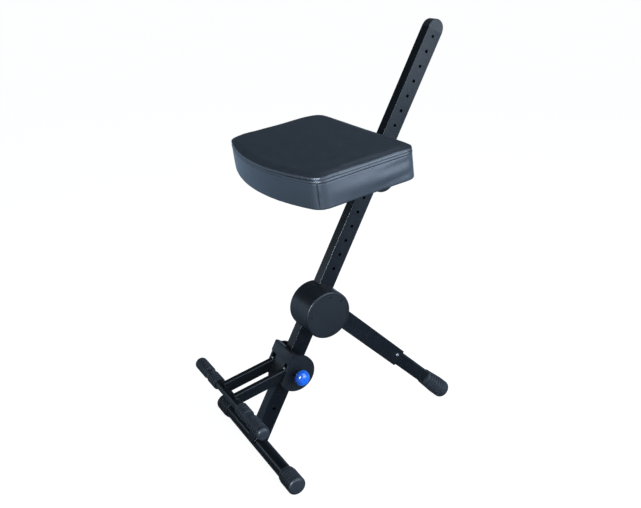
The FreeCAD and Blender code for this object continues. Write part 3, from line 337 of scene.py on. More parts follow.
def piece(name, bm, slot, body, place=Matrix.Identity(4), instead_of=(), smooth=40):
    bmesh.ops.remove_doubles(bm, verts=bm.verts, dist=1e-6)
    bmesh.ops.recalc_face_normals(bm, faces=bm.faces)
    bm.transform(place)
    obj = plain_object(name, bm)
    mesh = obj.data
    mesh.materials.append(finishes[slot])
    mesh.shade_smooth()
    mesh.set_sharp_from_angle(angle=math.radians(smooth))
    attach(obj, body)
    if instead_of:
        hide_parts(*instead_of)
    print(name, len(mesh.polygons), "faces")
    return obj


# %% [markdown]
# ## Round pieces
# Feet, grips, knobs and screw heads are round. A lathe makes such shapes, and so does Spin: an outline is
# drawn once, its corners are softened, and it is turned about its axis.

# %% Spin an outline
def turned(points, steps=56, softened=(), soft=0.0005):
    """round the softened corners of an outline of lengths and radii, then spin it about X"""
    bm = bmesh.new()
    verts = [bm.verts.new((length, 0, radius)) for length, radius in points]
    for first, second in zip(verts, verts[1:]):
        bm.edges.new((first, second))
    if softened:
        chosen = [verts[i] for i in softened]
        bmesh.ops.bevel(bm, geom=chosen, affect="VERTICES", offset=soft, segments=2, profile=0.5,
                        material=-1)
    bmesh.ops.spin(bm, geom=bm.verts[:] + bm.edges[:], cent=(0, 0, 0), axis=(1, 0, 0), dvec=(0, 0, 0),
                   angle=2 * math.pi, steps=steps, use_merge=True)
    bmesh.ops.remove_doubles(bm, verts=bm.verts, dist=1e-6)
    return bm


# %% [markdown]
# ## Ribbed rubber feet and grips
# Each boot is pushed over a tube's end: a bore, a row of ribs, and a closed rounded end. Seven boots share
# this shape, so one function draws the outline from a few sizes and spins it. A sleeve is the same boot
# without its end.

# %% A ribbed boot
RIB_LEAD = 0.0025


def round_end(length, radius, rounding, steps=6):
    """the quarter round that closes a boot"""
    turns = [math.radians(90 * i / steps) for i in range(steps + 1)]
    return [(length - rounding + rounding * math.sin(t), radius - rounding + rounding * math.cos(t))
            for t in turns]


def boot(length, narrow, radius, groove, ribs, bore, depth, rounding=0):
    """ribbed rubber whose ribs grow from a narrow start; ribs are count, growing count, pitch and width"""
    count, growing, pitch, width = ribs
    outline = [(depth, bore), (0, bore), (0, narrow)]
    root = narrow
    for i in range(count):
        crest = narrow + (radius - narrow) * min(i + 1, growing) / growing
        start = RIB_LEAD + pitch * i
        outline += [(start, root), (start, crest), (start + width, crest)]
        root = crest - groove
        outline.append((start + width, root))
    plain = RIB_LEAD + pitch * count
    corners = range(2, len(outline) + 2)
    if not rounding:
        return turned(outline + [(length, root), (length, bore)], softened=corners)
    outline += [(plain, root), (plain, radius)] + round_end(length, radius, rounding) + [(length, 0)]
    return turned([(depth, 0)] + outline, softened=[i + 1 for i in corners])


# %% [markdown]
# The floor bar has a foot at each end. Rubber that carries weight is flat where it stands, so a plane cuts
# each foot at the floor and the opening is closed. A half turn carries a near piece to the far side.

# %% Feet of the floor bar
BAR_AXIS = 0.0186
BAR_BEHIND = 0.0024
BAR_FOOT_START = 0.1344
FINE_RIB = (0.0073, 0.0041)
NEAR = Matrix.Identity(4)
FAR = Matrix.Rotation(math.pi, 4, "Z")
SIDES = (("near", NEAR), ("far", FAR))


def cut_away(bm, place, outward):
    """slice a piece flat and close it, leaving out what lies on the outward side"""
    cut = bmesh.ops.bisect_plane(bm, geom=bm.verts[:] + bm.edges[:] + bm.faces[:], plane_co=place,
                                 plane_no=outward, clear_outer=True)
    rim = [item for item in cut["geom_cut"] if isinstance(item, bmesh.types.BMEdge)]
    bmesh.ops.holes_fill(bm, edges=rim)


bar_centre = post @ Vector((0, 0, BAR_AXIS / math.cos(LEAN))) + Vector((0, BAR_BEHIND, 0))
for side, turn in SIDES:
    bm = boot(length=0.0516, narrow=0.0178, radius=0.0202, groove=0.0027, ribs=(6, 2, *FINE_RIB),
              bore=0.01605, depth=0.0436, rounding=0.0062)
    bm.transform(Matrix.Translation(bar_centre) @ turn @ Matrix.Translation((BAR_FOOT_START, 0, 0)))
    cut_away(bm, place=(0, 0, 0), outward=(0, 0, -1))
    piece(f"rubber_foot_{side}", bm, "foot_rubber", "frame", instead_of=[f"bar_foot_{side}"])

# %% [markdown]
# The rear foot is longer, and its ribs grow towards its end. It slants, so its place along the leg follows
# from the hub's height and the leg's angle. Its far side is cut flat too, to pass the seat's carriage when
# the leg is folded.

# %% Foot of the rear leg
LEG_X = 0.0355
LEG_OFFSET = 0.0134
REAR_LENGTH = 0.086
REAR_RADIUS = 0.0215
REAR_RIM = 0.0045
REAR_SINK = 0.0015
FLAT_X = 0.0169
UP = Matrix.Rotation(-math.pi / 2, 4, "Y")
leg_drop = hub.translation.z + LEG_OFFSET * math.sin(LEG_ANGLE)
rim_drop = (REAR_RADIUS - REAR_RIM) * math.sin(LEG_ANGLE) + REAR_RIM
leg_end = REAR_RIM + (leg_drop - rim_drop + REAR_SINK) / math.cos(LEG_ANGLE)
bm = boot(length=REAR_LENGTH, narrow=0.0180, radius=REAR_RADIUS, groove=0.0027,
          ribs=(6, 6, 0.0096, 0.0052), bore=0.009, depth=0.078, rounding=0.0062)
bm.transform(rear_leg @ Matrix.Translation((LEG_X, -LEG_OFFSET, leg_end - REAR_LENGTH)) @ UP)
cut_away(bm, place=(0, 0, 0), outward=(0, 0, -1))
cut_away(bm, place=(FLAT_X, 0, 0), outward=(-1, 0, 0))
piece("rubber_foot_rear", bm, "foot_rubber", "leg_slider", instead_of=["rear_foot"])

# %% [markdown]
# The footrest is a short bar that two gently sloping arms hold in front of the clamp. Each half of the bar
# carries a ribbed sleeve and then a closed end.

# %% Sleeves and ends of the footrest's bar
CLAMP_UP = 0.2082
ARM_RISE = 0.0065
ARM_TILT = math.radians(12.7)
ARM_REACH = 0.149
ARM_DROP = 0.0054
SLEEVE_START = 0.0544
SLEEVE_LENGTH = 0.0515
END_START = 0.1069
GRIP = {"narrow": 0.0127, "radius": 0.0144, "groove": 0.0022, "bore": 0.01005}
arm = turned_about_x(post @ Vector((0, 0, CLAMP_UP)) + Vector((0, 0, ARM_RISE)), ARM_TILT)
rest_bar = Matrix.Translation(arm @ Vector((0, -ARM_REACH, -ARM_DROP)))
for side, turn in SIDES:
    sleeve = boot(length=SLEEVE_LENGTH, depth=SLEEVE_LENGTH, ribs=(5, 1, *FINE_RIB), **GRIP)
    piece(f"rubber_sleeve_{side}", sleeve, "foot_rubber", "footrest",
          rest_bar @ turn @ Matrix.Translation((SLEEVE_START, 0, 0)), [f"footrest_sleeve_{side}"])
    cap = boot(length=0.058, depth=0.048, ribs=(6, 1, *FINE_RIB), rounding=0.007, **GRIP)
    piece(f"rubber_end_{side}", cap, "foot_rubber", "footrest",
          rest_bar @ turn @ Matrix.Translation((END_START, 0, 0)), [f"footrest_end_cap_{side}"])

# %% [markdown]
# ## Knobs
# A hand knob is turned too. Its front is nearly a ball, and its rim has shallow hollows for the fingers,
# pressed in after the spin by moving the rim's vertices in and out as they go round.

# %% Blue footrest knob and black seat knob
KNOB = {"radius": 0.0178, "length": 0.021, "rounding": 0.0145, "hollows": 6, "depth": 0.045}
NECK_SHARE = 0.53
GRIPPED_SHARE = 0.6
RIM_START = 0.003
RIM_END = 0.0045
RIM_STEP = 0.0012
KNOB_X = 0.0533
SEAT_LOCK_UP = 0.6504


def hand_knob(radius, length, rounding, hollows, depth):
    outline = [(0, 0), (0, radius * NECK_SHARE), (RIM_START, radius - RIM_STEP), (RIM_END, radius)]
    outline += round_end(length, radius, rounding, 10) + [(length, 0)]
    bm = turned(outline, steps=96)
    for vert in bm.verts:
        reach = math.hypot(vert.co.y, vert.co.z)
        if reach > GRIPPED_SHARE * radius:
            share = (reach / radius - GRIPPED_SHARE) / (1 - GRIPPED_SHARE)
            turn = math.atan2(vert.co.y, vert.co.z)
            pressed = 1 - depth * share * (0.5 - 0.5 * math.cos(hollows * turn))
            vert.co.y *= pressed
            vert.co.z *= pressed
    return bm


rest_lock = post @ Matrix.Translation((KNOB_X, 0, CLAMP_UP))
piece("blue_knob", hand_knob(**KNOB), "knob_blue", "footrest_lock", rest_lock, ["footrest_lock_knob"])
knob_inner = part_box("seat_lock_knob")[1].x
seat_lock = post @ Matrix.Translation((knob_inner, 0, SEAT_LOCK_UP)) @ FAR
piece("seat_knob", hand_knob(**KNOB), "trim_plastic", "seat_lock", seat_lock, ["seat_lock_knob"])

# %% [markdown]
# ## The seat cushion
# Foam on a board under stretched vinyl: the top is crowned, the walls swell a little and the corners stay
# tight. The work starts from a slightly small block in the seat's plan, with a bowed front, tapered sides
# and rounded corners. The same plan, drawn smaller, later gives the board's room, the hem and the staples.

# %% Block in the seat's plan
SEAT_BACK = 0.1895
SEAT_FRONT = 0.1915
SIDE_DEPTH = 0.229
MIDDLE_DEPTH = 0.268
SIDE_HOLLOW = 0.002
WALL = 0.0622
SHRINK = 0.0030
LONG_EDGE = 0.012


def seat_plan(inset, rear_round, front_round, top, bottom):
    """a block in the seat's plan: bowed front, tapered sides drawn in a little, rounded corners"""
    back = SEAT_BACK - inset
    front = SEAT_FRONT - inset
    deep = inset - SIDE_DEPTH

    def bowed(x):
        return deep - (MIDDLE_DEPTH - SIDE_DEPTH) * (1 - (x / front) ** 2)

    bm = bmesh.new()
    plan = ((-back, -inset, top), (back, -inset, top), (front, deep, top), (-front, deep, top))
    corners = [bm.verts.new(co) for co in plan]
    bm.faces.new(corners)
    bmesh.ops.subdivide_edges(bm, edges=[bm.edges.get(corners[2:])], cuts=9)
    for vert in bm.verts:
        if vert.co.y < deep + 0.0001:
            vert.co.y = bowed(vert.co.x)
    for corner_y, half, rounding in ((-inset, back, rear_round), (deep, front, front_round)):
        row = [vert for vert in bm.verts if abs(vert.co.y - corner_y) < 1e-5]
        pair = [vert for vert in row if abs(vert.co.x) > half - 1e-5]
        bmesh.ops.bevel(bm, geom=pair, affect="VERTICES", offset=rounding, segments=8, profile=0.5,
                        material=-1)
    long_edges = [edge for edge in bm.edges if edge.calc_length() > LONG_EDGE]
    bmesh.ops.subdivide_edges(bm, edges=long_edges, cuts=5)
    for vert in bm.verts:
        if vert.co.y < deep - 0.001 and abs(vert.co.x) < front - front_round:
            vert.co.y = bowed(vert.co.x)
        elif abs(vert.co.x) > back - 0.001:
            along = (vert.co.y - deep) / (-inset - deep)
            vert.co.x -= math.copysign(SIDE_HOLLOW, vert.co.x) * max(0.0, 4 * along * (1 - along))
    bmesh.ops.recalc_face_normals(bm, faces=bm.faces)
    low = bmesh.ops.extrude_face_region(bm, geom=bm.faces[:])
    low = [item for item in low["geom"] if isinstance(item, bmesh.types.BMVert)]
    bmesh.ops.translate(bm, verts=low, vec=(0, 0, bottom - top))
    bmesh.ops.recalc_face_normals(bm, faces=bm.faces)
    return bm


block = seat_plan(inset=SHRINK, rear_round=0.027, front_round=0.021, top=-0.0005, bottom=-WALL)
print("block", len(block.faces), "faces")

# %% [markdown]
# The block's top and bottom are single large faces, which can't bend. Remeshing turns the whole block into
# small even squares, so that it can stretch the same way everywhere.

# %% Remesh the block to even squares
SQUARE = 0.004


def remeshed(bm, voxel):
    obj = plain_object("seat_form", bm)
    bpy.context.view_layer.objects.active = obj
    obj.select_set(True)
    obj.data.remesh_voxel_size = voxel
    bpy.ops.object.voxel_remesh()
    return obj


form = remeshed(block, SQUARE)
print("remeshed to", len(form.data.vertices), "points")

# %% [markdown]
# Stuffing presses a cover outwards. A cloth simulation does that: the form is held along its lower edge and
# blown up from inside. Raw cloth also wrinkles and draws its edges in, so only the movement outwards is
# kept, and it is smoothed and capped.

# %% Swell the form with cloth
HELD_BAND = 0.012
CLOTH_FRAMES = 20
SMOOTHING_ROUNDS = 30


def evened(shifts, edges, rounds):
    """smooth a movement: each point goes halfway to its neighbours' mean, some rounds over"""
    pairs = [tuple(edge.vertices) for edge in edges]
    for _ in range(rounds):
        sums = [Vector() for _ in shifts]
        counts = [0] * len(shifts)
        for first, second in pairs:
            sums[first] += shifts[second]
            sums[second] += shifts[first]
            counts[first] += 1
            counts[second] += 1
        shifts = [(shift + total / count) / 2 for shift, total, count in zip(shifts, sums, counts)]
    return shifts


def swollen(obj, pressure, cap):
    """blow the form up with cloth; keep what moved outwards, smooth it and hold it within a cap"""
    start = [vert.co.copy() for vert in obj.data.vertices]
    normals = [vert.normal.copy() for vert in obj.data.vertices]
    held = obj.vertex_groups.new(name="held")
    held.add([i for i, co in enumerate(start) if co.z < -WALL + HELD_BAND], 1.0, "REPLACE")
    cloth = obj.modifiers.new("swell", "CLOTH")
    cloth.settings.quality = 5
    cloth.settings.mass = 0.3
    cloth.settings.tension_stiffness = 30
    cloth.settings.compression_stiffness = 30
    cloth.settings.bending_stiffness = 10
    cloth.settings.use_pressure = True
    cloth.settings.uniform_pressure_force = pressure
    cloth.settings.vertex_group_mass = "held"
    cloth.settings.effector_weights.gravity = 0
    cloth.point_cache.frame_start = 1
    cloth.point_cache.frame_end = CLOTH_FRAMES
    scene = bpy.context.scene
    for step in range(1, CLOTH_FRAMES + 1):
        scene.frame_set(step)
    shaped = obj.evaluated_get(bpy.context.evaluated_depsgraph_get())
    moved = [vert.co.copy() for vert in shaped.data.vertices]
    obj.modifiers.remove(cloth)
    scene.frame_set(1)
    outward = [max(0.0, (after - before).dot(normal)) * normal
               for before, after, normal in zip(start, moved, normals)]
    shifts = evened(outward, obj.data.edges, SMOOTHING_ROUNDS)
    for vert, before, shift in zip(obj.data.vertices, start, shifts):
        if shift.length > cap:
            shift *= cap / shift.length
        vert.co = before + shift
    return max(shift.length for shift in shifts)


print("swelled by", round(swollen(form, pressure=4.0, cap=0.006), 4))

# %% [markdown]
# Foam is thickest in the middle, so the top rises there in a soft crown. One level of subdivision first
# rounds the edges that the squares have left.

# %% Round and crown the form
CROWN = 0.006
CROWN_HALF_WIDTH = 0.2
CROWN_HALF_DEPTH = 0.14
CROWN_MIDDLE = -0.13
CROWN_FADE = 0.02


def evaluated_mesh(obj):
    """a new mesh of an object, as its modifiers leave it"""
    return bpy.data.meshes.new_from_object(obj.evaluated_get(bpy.context.evaluated_depsgraph_get()))


def crowned(obj):
    """subdivide the form and raise the middle of its top"""
    rounder = obj.modifiers.new("rounder", "SUBSURF")
    rounder.levels = 1
    rounder.render_levels = 1
    shaped = evaluated_mesh(obj)
    bm = bmesh.new()
    bm.from_mesh(shaped)
    bpy.data.objects.remove(obj)
    bpy.data.meshes.remove(shaped)
    for vert in bm.verts:
        wide = max(0.0, 1 - (vert.co.x / CROWN_HALF_WIDTH) ** 2)
        deep = max(0.0, 1 - ((vert.co.y - CROWN_MIDDLE) / CROWN_HALF_DEPTH) ** 2)
        near_top = max(0.0, min(1.0, (vert.co.z + CROWN_FADE) / CROWN_FADE))
        vert.co.z += CROWN * (wide * deep) * near_top
    return bm


cover = crowned(form)
print("cover", len(cover.faces), "faces")

# %% [markdown]
# The top panel is sewn to the side band with a flat welt a few millimetres below the edge, and the front
# corners have an upright seam. Such seams are finer than the remeshed squares, so the mesh is sliced along
# each line and the slice is drawn in.

# %% Sew the welt and the corner seams
# height of each slice, and how far it is drawn in
WELT = ((-0.0022, 0), (-0.0040, 0.0016), (-0.0055, 0), (-0.0080, -0.0006), (-0.0105, 0.0004), (-0.013, 0))
TOP_NORMAL = 0.8
# place of each slice across the seam, and how far it is drawn in
CORNER_SEAM = ((-0.006, 0), (-0.002, 0.0005), (0, 0.0012), (0.002, 0.0004), (0.004, 0))
SEAM_INSET = 0.007
SEAM_BACK = 0.0005
SEAM_ACROSS = (0.62, 0.78)
SEAM_REACH = 0.03
SEAM_LOW = -WALL + 0.004
SEAM_HIGH = -0.011


def slice_at(bm, place, normal, faces):
    """cut some faces along a plane and return the points of the cut"""
    geom = set(faces)
    for face in faces:
        geom.update(face.verts)
        geom.update(face.edges)
    cut = bmesh.ops.bisect_plane(bm, geom=list(geom), plane_co=place, plane_no=normal, dist=1e-6)
    return [item for item in cut["geom_cut"] if isinstance(item, bmesh.types.BMVert)]


def draw_in(bm, verts, depth):
    bm.normal_update()
    moves = [(vert, vert.normal.copy()) for vert in verts]
    for vert, normal in moves:
        vert.co -= normal * depth


for height, depth in WELT:
    ring = slice_at(cover, (0, 0, height), (0, 0, 1), cover.faces[:])
    draw_in(cover, [vert for vert in ring if abs(vert.normal.z) < TOP_NORMAL], depth)
for side in (1, -1):
    corner = Vector((side * (SEAT_FRONT - SEAM_INSET), -SIDE_DEPTH + SEAM_BACK, 0))
    across = Vector((side * SEAM_ACROSS[0], SEAM_ACROSS[1], 0)).normalized()
    for offset, depth in CORNER_SEAM:
        near = [face for face in cover.faces
                if (face.calc_center_median().xy - corner.xy).length < SEAM_REACH]
        line = slice_at(cover, corner + across * offset, across, near)
        draw_in(cover, [vert for vert in line if SEAM_LOW < vert.co.z < SEAM_HIGH], depth)
print("sewn cover", len(cover.faces), "faces")

# %% [markdown]
# The cover is pulled hardest over the rear corners, so soft folds run from them down along the side walls.
# A wave across the direction of pull makes them, eased out towards the seams and the middle of the wall.

# %% Soft folds by the rear corners
SIDE_WALL_X = 0.17
FOLD_START_Y = -0.02
FOLD_START_Z = -0.012
# where the folds begin to show and are full, from either end of their stretch
FOLD_ALONG = ((-0.130, -0.060), (-0.004, -0.030))
FOLD_UPRIGHT = ((-0.059, -0.046), (-0.012, -0.020))


def eased(low, high, value):
    """0 at low, 1 at high, with soft ends"""
    share = max(0.0, min(1.0, (value - low) / (high - low)))
    return share * share * (3 - 2 * share)


def within(stretch, value):
    """1 inside a stretch, eased to 0 at both its ends"""
    first, last = stretch
    return eased(*first, value) * eased(*last, value)


def creased(bm, depth, pitch, slope):
    """press sloping waves into the side walls near their rear ends"""
    bm.normal_update()
    walls = [vert for vert in bm.verts if abs(vert.co.x) > SIDE_WALL_X]
    shifts = []
    for vert in walls:
        along = within(FOLD_ALONG, vert.co.y)
        across = within(FOLD_UPRIGHT, vert.co.z)
        fold = vert.co.z - FOLD_START_Z - slope * (vert.co.y - FOLD_START_Y)
        shifts.append(vert.normal * depth * along * across * math.sin(2 * math.pi * fold / pitch))
    for vert, shift in zip(walls, shifts):
        vert.co += shift
    return max(shift.length for shift in shifts)


print("folds", round(creased(cover, depth=0.0005, pitch=0.028, slope=0.10), 5), "deep")

# %% [markdown]
# Under the seat the vinyl is folded round the board's edge and stapled, so the board lies in a hollow and a
# narrow hem hides its edge. Three blocks are taken away: room for the board, the opening inside the hem,
# and a gap where the steel plate passes the hem at the back.

# %% Hollow for the board and the hem
PLATE_GAP = (0.130, 0.190, 0.0092)
PLATE_GAP_PLACE = (0, -0.085, -0.0655)


def add_box(bm, size, place):
    bmesh.ops.create_cube(bm, size=1.0, matrix=place @ Matrix.Diagonal((*size, 1)))


def carved(bm, cutters):
    """take blocks away from a form"""
    form = plain_object("cushion_form", bm)
    for cutter in cutters:
        knife = plain_object("knife", cutter)
        take = form.modifiers.new("take", "BOOLEAN")
        take.object = knife
        take.operation = "DIFFERENCE"
        take.solver = "EXACT"
        shaped = evaluated_mesh(form)
        form.modifiers.remove(take)
        form.data = shaped
        bpy.data.objects.remove(knife)
    result = bmesh.new()
    result.from_mesh(form.data)
    bpy.data.objects.remove(form)
    return result


board_room = seat_plan(inset=0.0088, rear_round=0.021, front_round=0.005, top=-0.0488, bottom=-0.0611)
hem_opening = seat_plan(inset=0.031, rear_round=0.012, front_round=0.006, top=-0.055, bottom=-0.070)
plate_gap = bmesh.new()
add_box(plate_gap, PLATE_GAP, Matrix.Translation(PLATE_GAP_PLACE))
cover = carved(cover, [board_room, hem_opening, plate_gap])
cushion = piece("seat_cover", cover, "seat_vinyl", "seat", seat, ["seat_cushion"], smooth=60)

# %% [markdown]
# The hem is held by a row of wire staples, each a short flat bar that follows the seat's outline. They
# leave out the back of the hem where the steel plate passes.

# %% Staples under the seat
STAPLE = (0.011, 0.0011, 0.0009)
STAPLE_STEP = 0.034
STAPLE_BELOW = 0.0002
PLATE_HALF = 0.075
PLATE_DEPTH = 0.15
line = seat_plan(inset=0.020, rear_round=0.016, front_round=0.008, top=0.0, bottom=-0.001)
line.normal_update()
top_face = max(line.faces, key=lambda face: face.normal.z * face.calc_area())
loop = [vert.co.copy() for vert in top_face.verts]
line.free()
staples = bmesh.new()
walked = 0.0
for first, second in zip(loop, loop[1:] + loop[:1]):
    walked += (second - first).length
    clear = abs(first.x) > PLATE_HALF or first.y < -PLATE_DEPTH
    if walked > STAPLE_STEP and clear:
        walked = 0.0
        run = second - first
        turn = Matrix.Rotation(math.atan2(run.y, run.x), 4, "Z")
        spot = Matrix.Translation((first.x, first.y, -WALL - STAPLE_BELOW))
        add_box(staples, STAPLE, spot @ turn)
piece("hem_staples", staples, "bare_steel", "seat", seat)

# %% [markdown]
# ## Screw heads
# The model's screws have plain flat heads. A thin dome with a six-sided socket on each head makes it a
# button screw: the dome is spun and left open on top, the opening is bridged to a hexagon, and the hexagon
# is sunk.

# %% A button with a six-sided socket
DOWN = Matrix.Rotation(math.pi / 2, 4, "Y")


def button(radius, rise):
    bm = turned([(0, 0), (0, radius * 0.96), (rise * 0.6, radius * 0.86), (rise, radius * 0.62)], steps=36)
    rim = [edge for edge in bm.edges if edge.is_boundary]
    upright = Matrix.Translation((rise, 0, 0)) @ DOWN
    corners = bmesh.ops.create_circle(bm, segments=6, radius=radius * 0.46, matrix=upright)["verts"]
    sides = [edge for edge in bm.edges if edge.verts[0] in corners and edge.verts[1] in corners]
    bmesh.ops.bridge_loops(bm, edges=rim + sides)
    sunk = bmesh.ops.extrude_edge_only(bm, edges=sides)["geom"]
    floor = [item for item in sunk if isinstance(item, bmesh.types.BMVert)]
    bmesh.ops.translate(bm, verts=floor, vec=(-rise * 0.75, 0, 0))
    bmesh.ops.holes_fill(bm, edges=[item for item in sunk if isinstance(item, bmesh.types.BMEdge)])
    return bm


# %% [markdown]
# The hub's screws sit on a ring in its two faces. A single screw, or a pair that faces both ways, is found
# from the box of its plain node. The arms' and the seat's screws are placed in their own frames.

# %% Buttons on every screw
BUTTON = 0.0038
SMALL_BUTTON = 0.0030
BUTTON_RISE = 0.0010
SCREW_RING = 0.0426
COVER_TURNS = (112, 69, -51, 198)
SHELL_TURNS = (30, 150, 210, 330)
ARM_SCREW = (-0.023, 0.0154)
SEAT_SCREW_X = 0.049
SEAT_SCREWS_Y = (-0.021, -0.162)
SEAT_SCREW_Z = -0.0664


def buttons(name, places, radius, slot, body):
    bm = bmesh.new()
    for place in places:
        mesh = bpy.data.meshes.new("button")
        one = button(radius, BUTTON_RISE)
        one.transform(place)
        one.to_mesh(mesh)
        one.free()
        bm.from_mesh(mesh)
        bpy.data.meshes.remove(mesh)
    piece(name, bm, slot, body)


def on_drum(x, turns, facing):
    """places on the hub's ring of screws"""
    angles = [math.radians(turn) for turn in turns]
    ring = [(x, SCREW_RING * math.cos(angle), SCREW_RING * math.sin(angle)) for angle in angles]
    return [hub @ Matrix.Translation(spot) @ facing for spot in ring]


def on_head(name, end, facing):
    """the middle of a screw's box, at its lower or upper end along X"""
    low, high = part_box(name)
    middle = (low + high) / 2
    return Matrix.Translation(((low, high)[end].x, middle.y, middle.z)) @ facing


cover_places = on_drum(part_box("hub_cover_screws")[1].x, COVER_TURNS, NEAR)
buttons("cover_buttons", cover_places, BUTTON, "dark_screws", "rear_leg")
shell_places = on_drum(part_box("hub_shell_screws")[0].x, SHELL_TURNS, FAR)
buttons("shell_buttons", shell_places, BUTTON, "dark_screws", "frame")
buttons("leg_button", [on_head("leg_clamp_screw", 1, NEAR)], BUTTON, "bare_steel", "rear_leg")
clamp_places = [on_head("footrest_clamp_screws", 1, NEAR), on_head("footrest_clamp_screws", 0, FAR)]
buttons("clamp_buttons", clamp_places, BUTTON, "dark_screws", "footrest")
arm_low, arm_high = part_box("footrest_arm_near")
arm_mid = (arm_low.x + arm_high.x) / 2
arm_places = [arm @ Matrix.Translation((x, *ARM_SCREW)) @ UP for x in (arm_mid, -arm_mid)]
buttons("arm_buttons", arm_places, SMALL_BUTTON, "bare_steel", "footrest")
under = [(x, y, SEAT_SCREW_Z) for x in (SEAT_SCREW_X, -SEAT_SCREW_X) for y in SEAT_SCREWS_Y]
seat_places = [seat @ Matrix.Translation(spot) @ DOWN for spot in under]
buttons("seat_buttons", seat_places, BUTTON, "dark_screws", "seat")

# %% [markdown]
# ## Face of the footrest's clamp
# The clamp's front plate ends in a thick lower edge that throws a shadow on the wall between the arms. A
# bevelled slab on the plate's face gives it that edge.

# %% Slab on the clamp's front plate
CLAMP_FACE = (0.0790, 0.0022, 0.0250)
CLAMP_FACE_PLACE = (0, -0.0316, 0.0277)
slab = bmesh.new()
add_box(slab, CLAMP_FACE, Matrix.Translation(CLAMP_FACE_PLACE))
bmesh.ops.bevel(slab, geom=slab.edges[:], affect="EDGES", offset=0.0007, segments=2, profile=0.5,
                material=-1)
piece("clamp_face", slab, "hub_plastic", "footrest", post @ Matrix.Translation((0, 0, CLAMP_UP)))

# %% [markdown]
# ## Weld beads
# The post sits on the floor bar in a round saddle and is welded there on both sides, as the footrest's arms
# are to their bar. A bead is a curve along the joint with a thick round section that swells and thins like
# a real one.

# %% Wire along a path
RIPPLE_STEP = 2.1


def swept(paths, thick, ripple=0.0):
    """round wire along each path, thicker and thinner by turns where it has a ripple"""
    bm = bmesh.new()
    for path in paths:
        curve = bpy.data.curves.new("wire", "CURVE")
        curve.dimensions = "3D"
        curve.bevel_depth = thick
        curve.bevel_resolution = 3
        curve.use_fill_caps = True
        spline = curve.splines.new("POLY")
        spline.points.add(len(path) - 1)
        for i, (point, place) in enumerate(zip(spline.points, path)):
            point.co = (*place, 1)
            point.radius = 1 + ripple * math.sin(i * RIPPLE_STEP)
        obj = bpy.data.objects.new("wire", curve)
        bpy.context.scene.collection.objects.link(obj)
        mesh = evaluated_mesh(obj)
        bm.from_mesh(mesh)
        bpy.data.objects.remove(obj)
        bpy.data.meshes.remove(mesh)
    return bm


# %% [markdown]
# Where a flat side of a tube meets a round bar, the joint is an arc round the bar. Each bead follows that
# arc, a little outside the bar.

# %% Beads on the floor bar and the footrest's bar
POST_HALF = 0.0127
BAR_BEAD_RADIUS = 0.0164
BAR_BEAD_THICK = 0.0015
REST_BEAD_RADIUS = 0.0103
REST_BEAD_THICK = 0.0012
BEAD_OUT = 0.0002
RIPPLE = 0.16


def bead_path(x, centre, away, radius):
    """an arc round a bar, at x, on the side that the joined tube comes from"""
    side = away.cross(Vector((1, 0, 0)))
    middle = Vector((x, centre.y, centre.z))
    turns = [math.radians(angle) for angle in range(-84, 85, 4)]
    return [middle + (away * math.cos(t) + side * math.sin(t)) * radius for t in turns]


post_up = (post.to_3x3() @ Vector((0, 0, 1))).normalized()
bar_paths = [bead_path(x, bar_centre, post_up, BAR_BEAD_RADIUS) for x in (POST_HALF, -POST_HALF)]
bar_beads = swept(bar_paths, BAR_BEAD_THICK, RIPPLE)
piece("floor_bar_beads", bar_beads, "frame_paint", "frame", smooth=70)
arm_back = (arm.to_3x3() @ Vector((0, 1, 0))).normalized()
arm_sides = [side * x for side in (1, -1) for x in (arm_low.x - BEAD_OUT, arm_high.x + BEAD_OUT)]
rest_paths = [bead_path(x, rest_bar.translation, arm_back, REST_BEAD_RADIUS) for x in arm_sides]
rest_beads = swept(rest_paths, REST_BEAD_THICK, RIPPLE)
piece("footrest_bar_beads", rest_beads, "frame_paint", "footrest", smooth=70)

# %% [markdown]
# ## Lock springs
# Each lock pin is pushed home by a coil spring in its barrel. The model has a plain tube there, so a wire
# wound round the pin takes its place.

# %% Wind the springs
WIRE = 0.00045
COIL_TURNS = 5
# lock, the body that holds its spring, the x of the spring's fixed end, and the pull
LOCKS = (("seat_lock", "seat", -0.0403, 0.008), ("hub_lock", "frame", -0.0135, 0.006),
         ("footrest_lock", "footrest", 0.05, 0.005))


def coil(low, high, turns, steps=18):
    """points of a helix along X that just fits a box"""
    middle = (low + high) / 2
    radius = (high.y - low.y) / 2 - WIRE
    length = high.x - low.x - 2 * WIRE
    count = turns * steps
    points = []
    for i in range(count + 1):
        angle = 2 * math.pi * i / steps
        points.append(Vector((low.x + WIRE + length * i / count, middle.y + radius * math.cos(angle),
                              middle.z + radius * math.sin(angle))))
    return points


for lock, body, fixed_x, travel in LOCKS:
    low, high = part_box(f"{lock}_spring")
    spring = piece(f"{lock}_coil", swept([coil(low, high, COIL_TURNS)], WIRE), "bare_steel", body,
                   instead_of=[f"{lock}_spring"], smooth=70)
    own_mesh(spring)

# %% [markdown]
# ## Floor
# The stool stands on white paper, as in a product photograph. The camera sees the paper mostly as plain
# white, which leaves only a faint shadow. Mirrored rays see it dim and blue, because black parts that
# mirror pure white turn grey, and dimmer still near the stool: a painted shadow in reflections, brighter
# far away.

# %% White floor
FLOOR_HALF = 150
FLOOR_DROP = 0.0003
WHITE_SHARE = 0.80


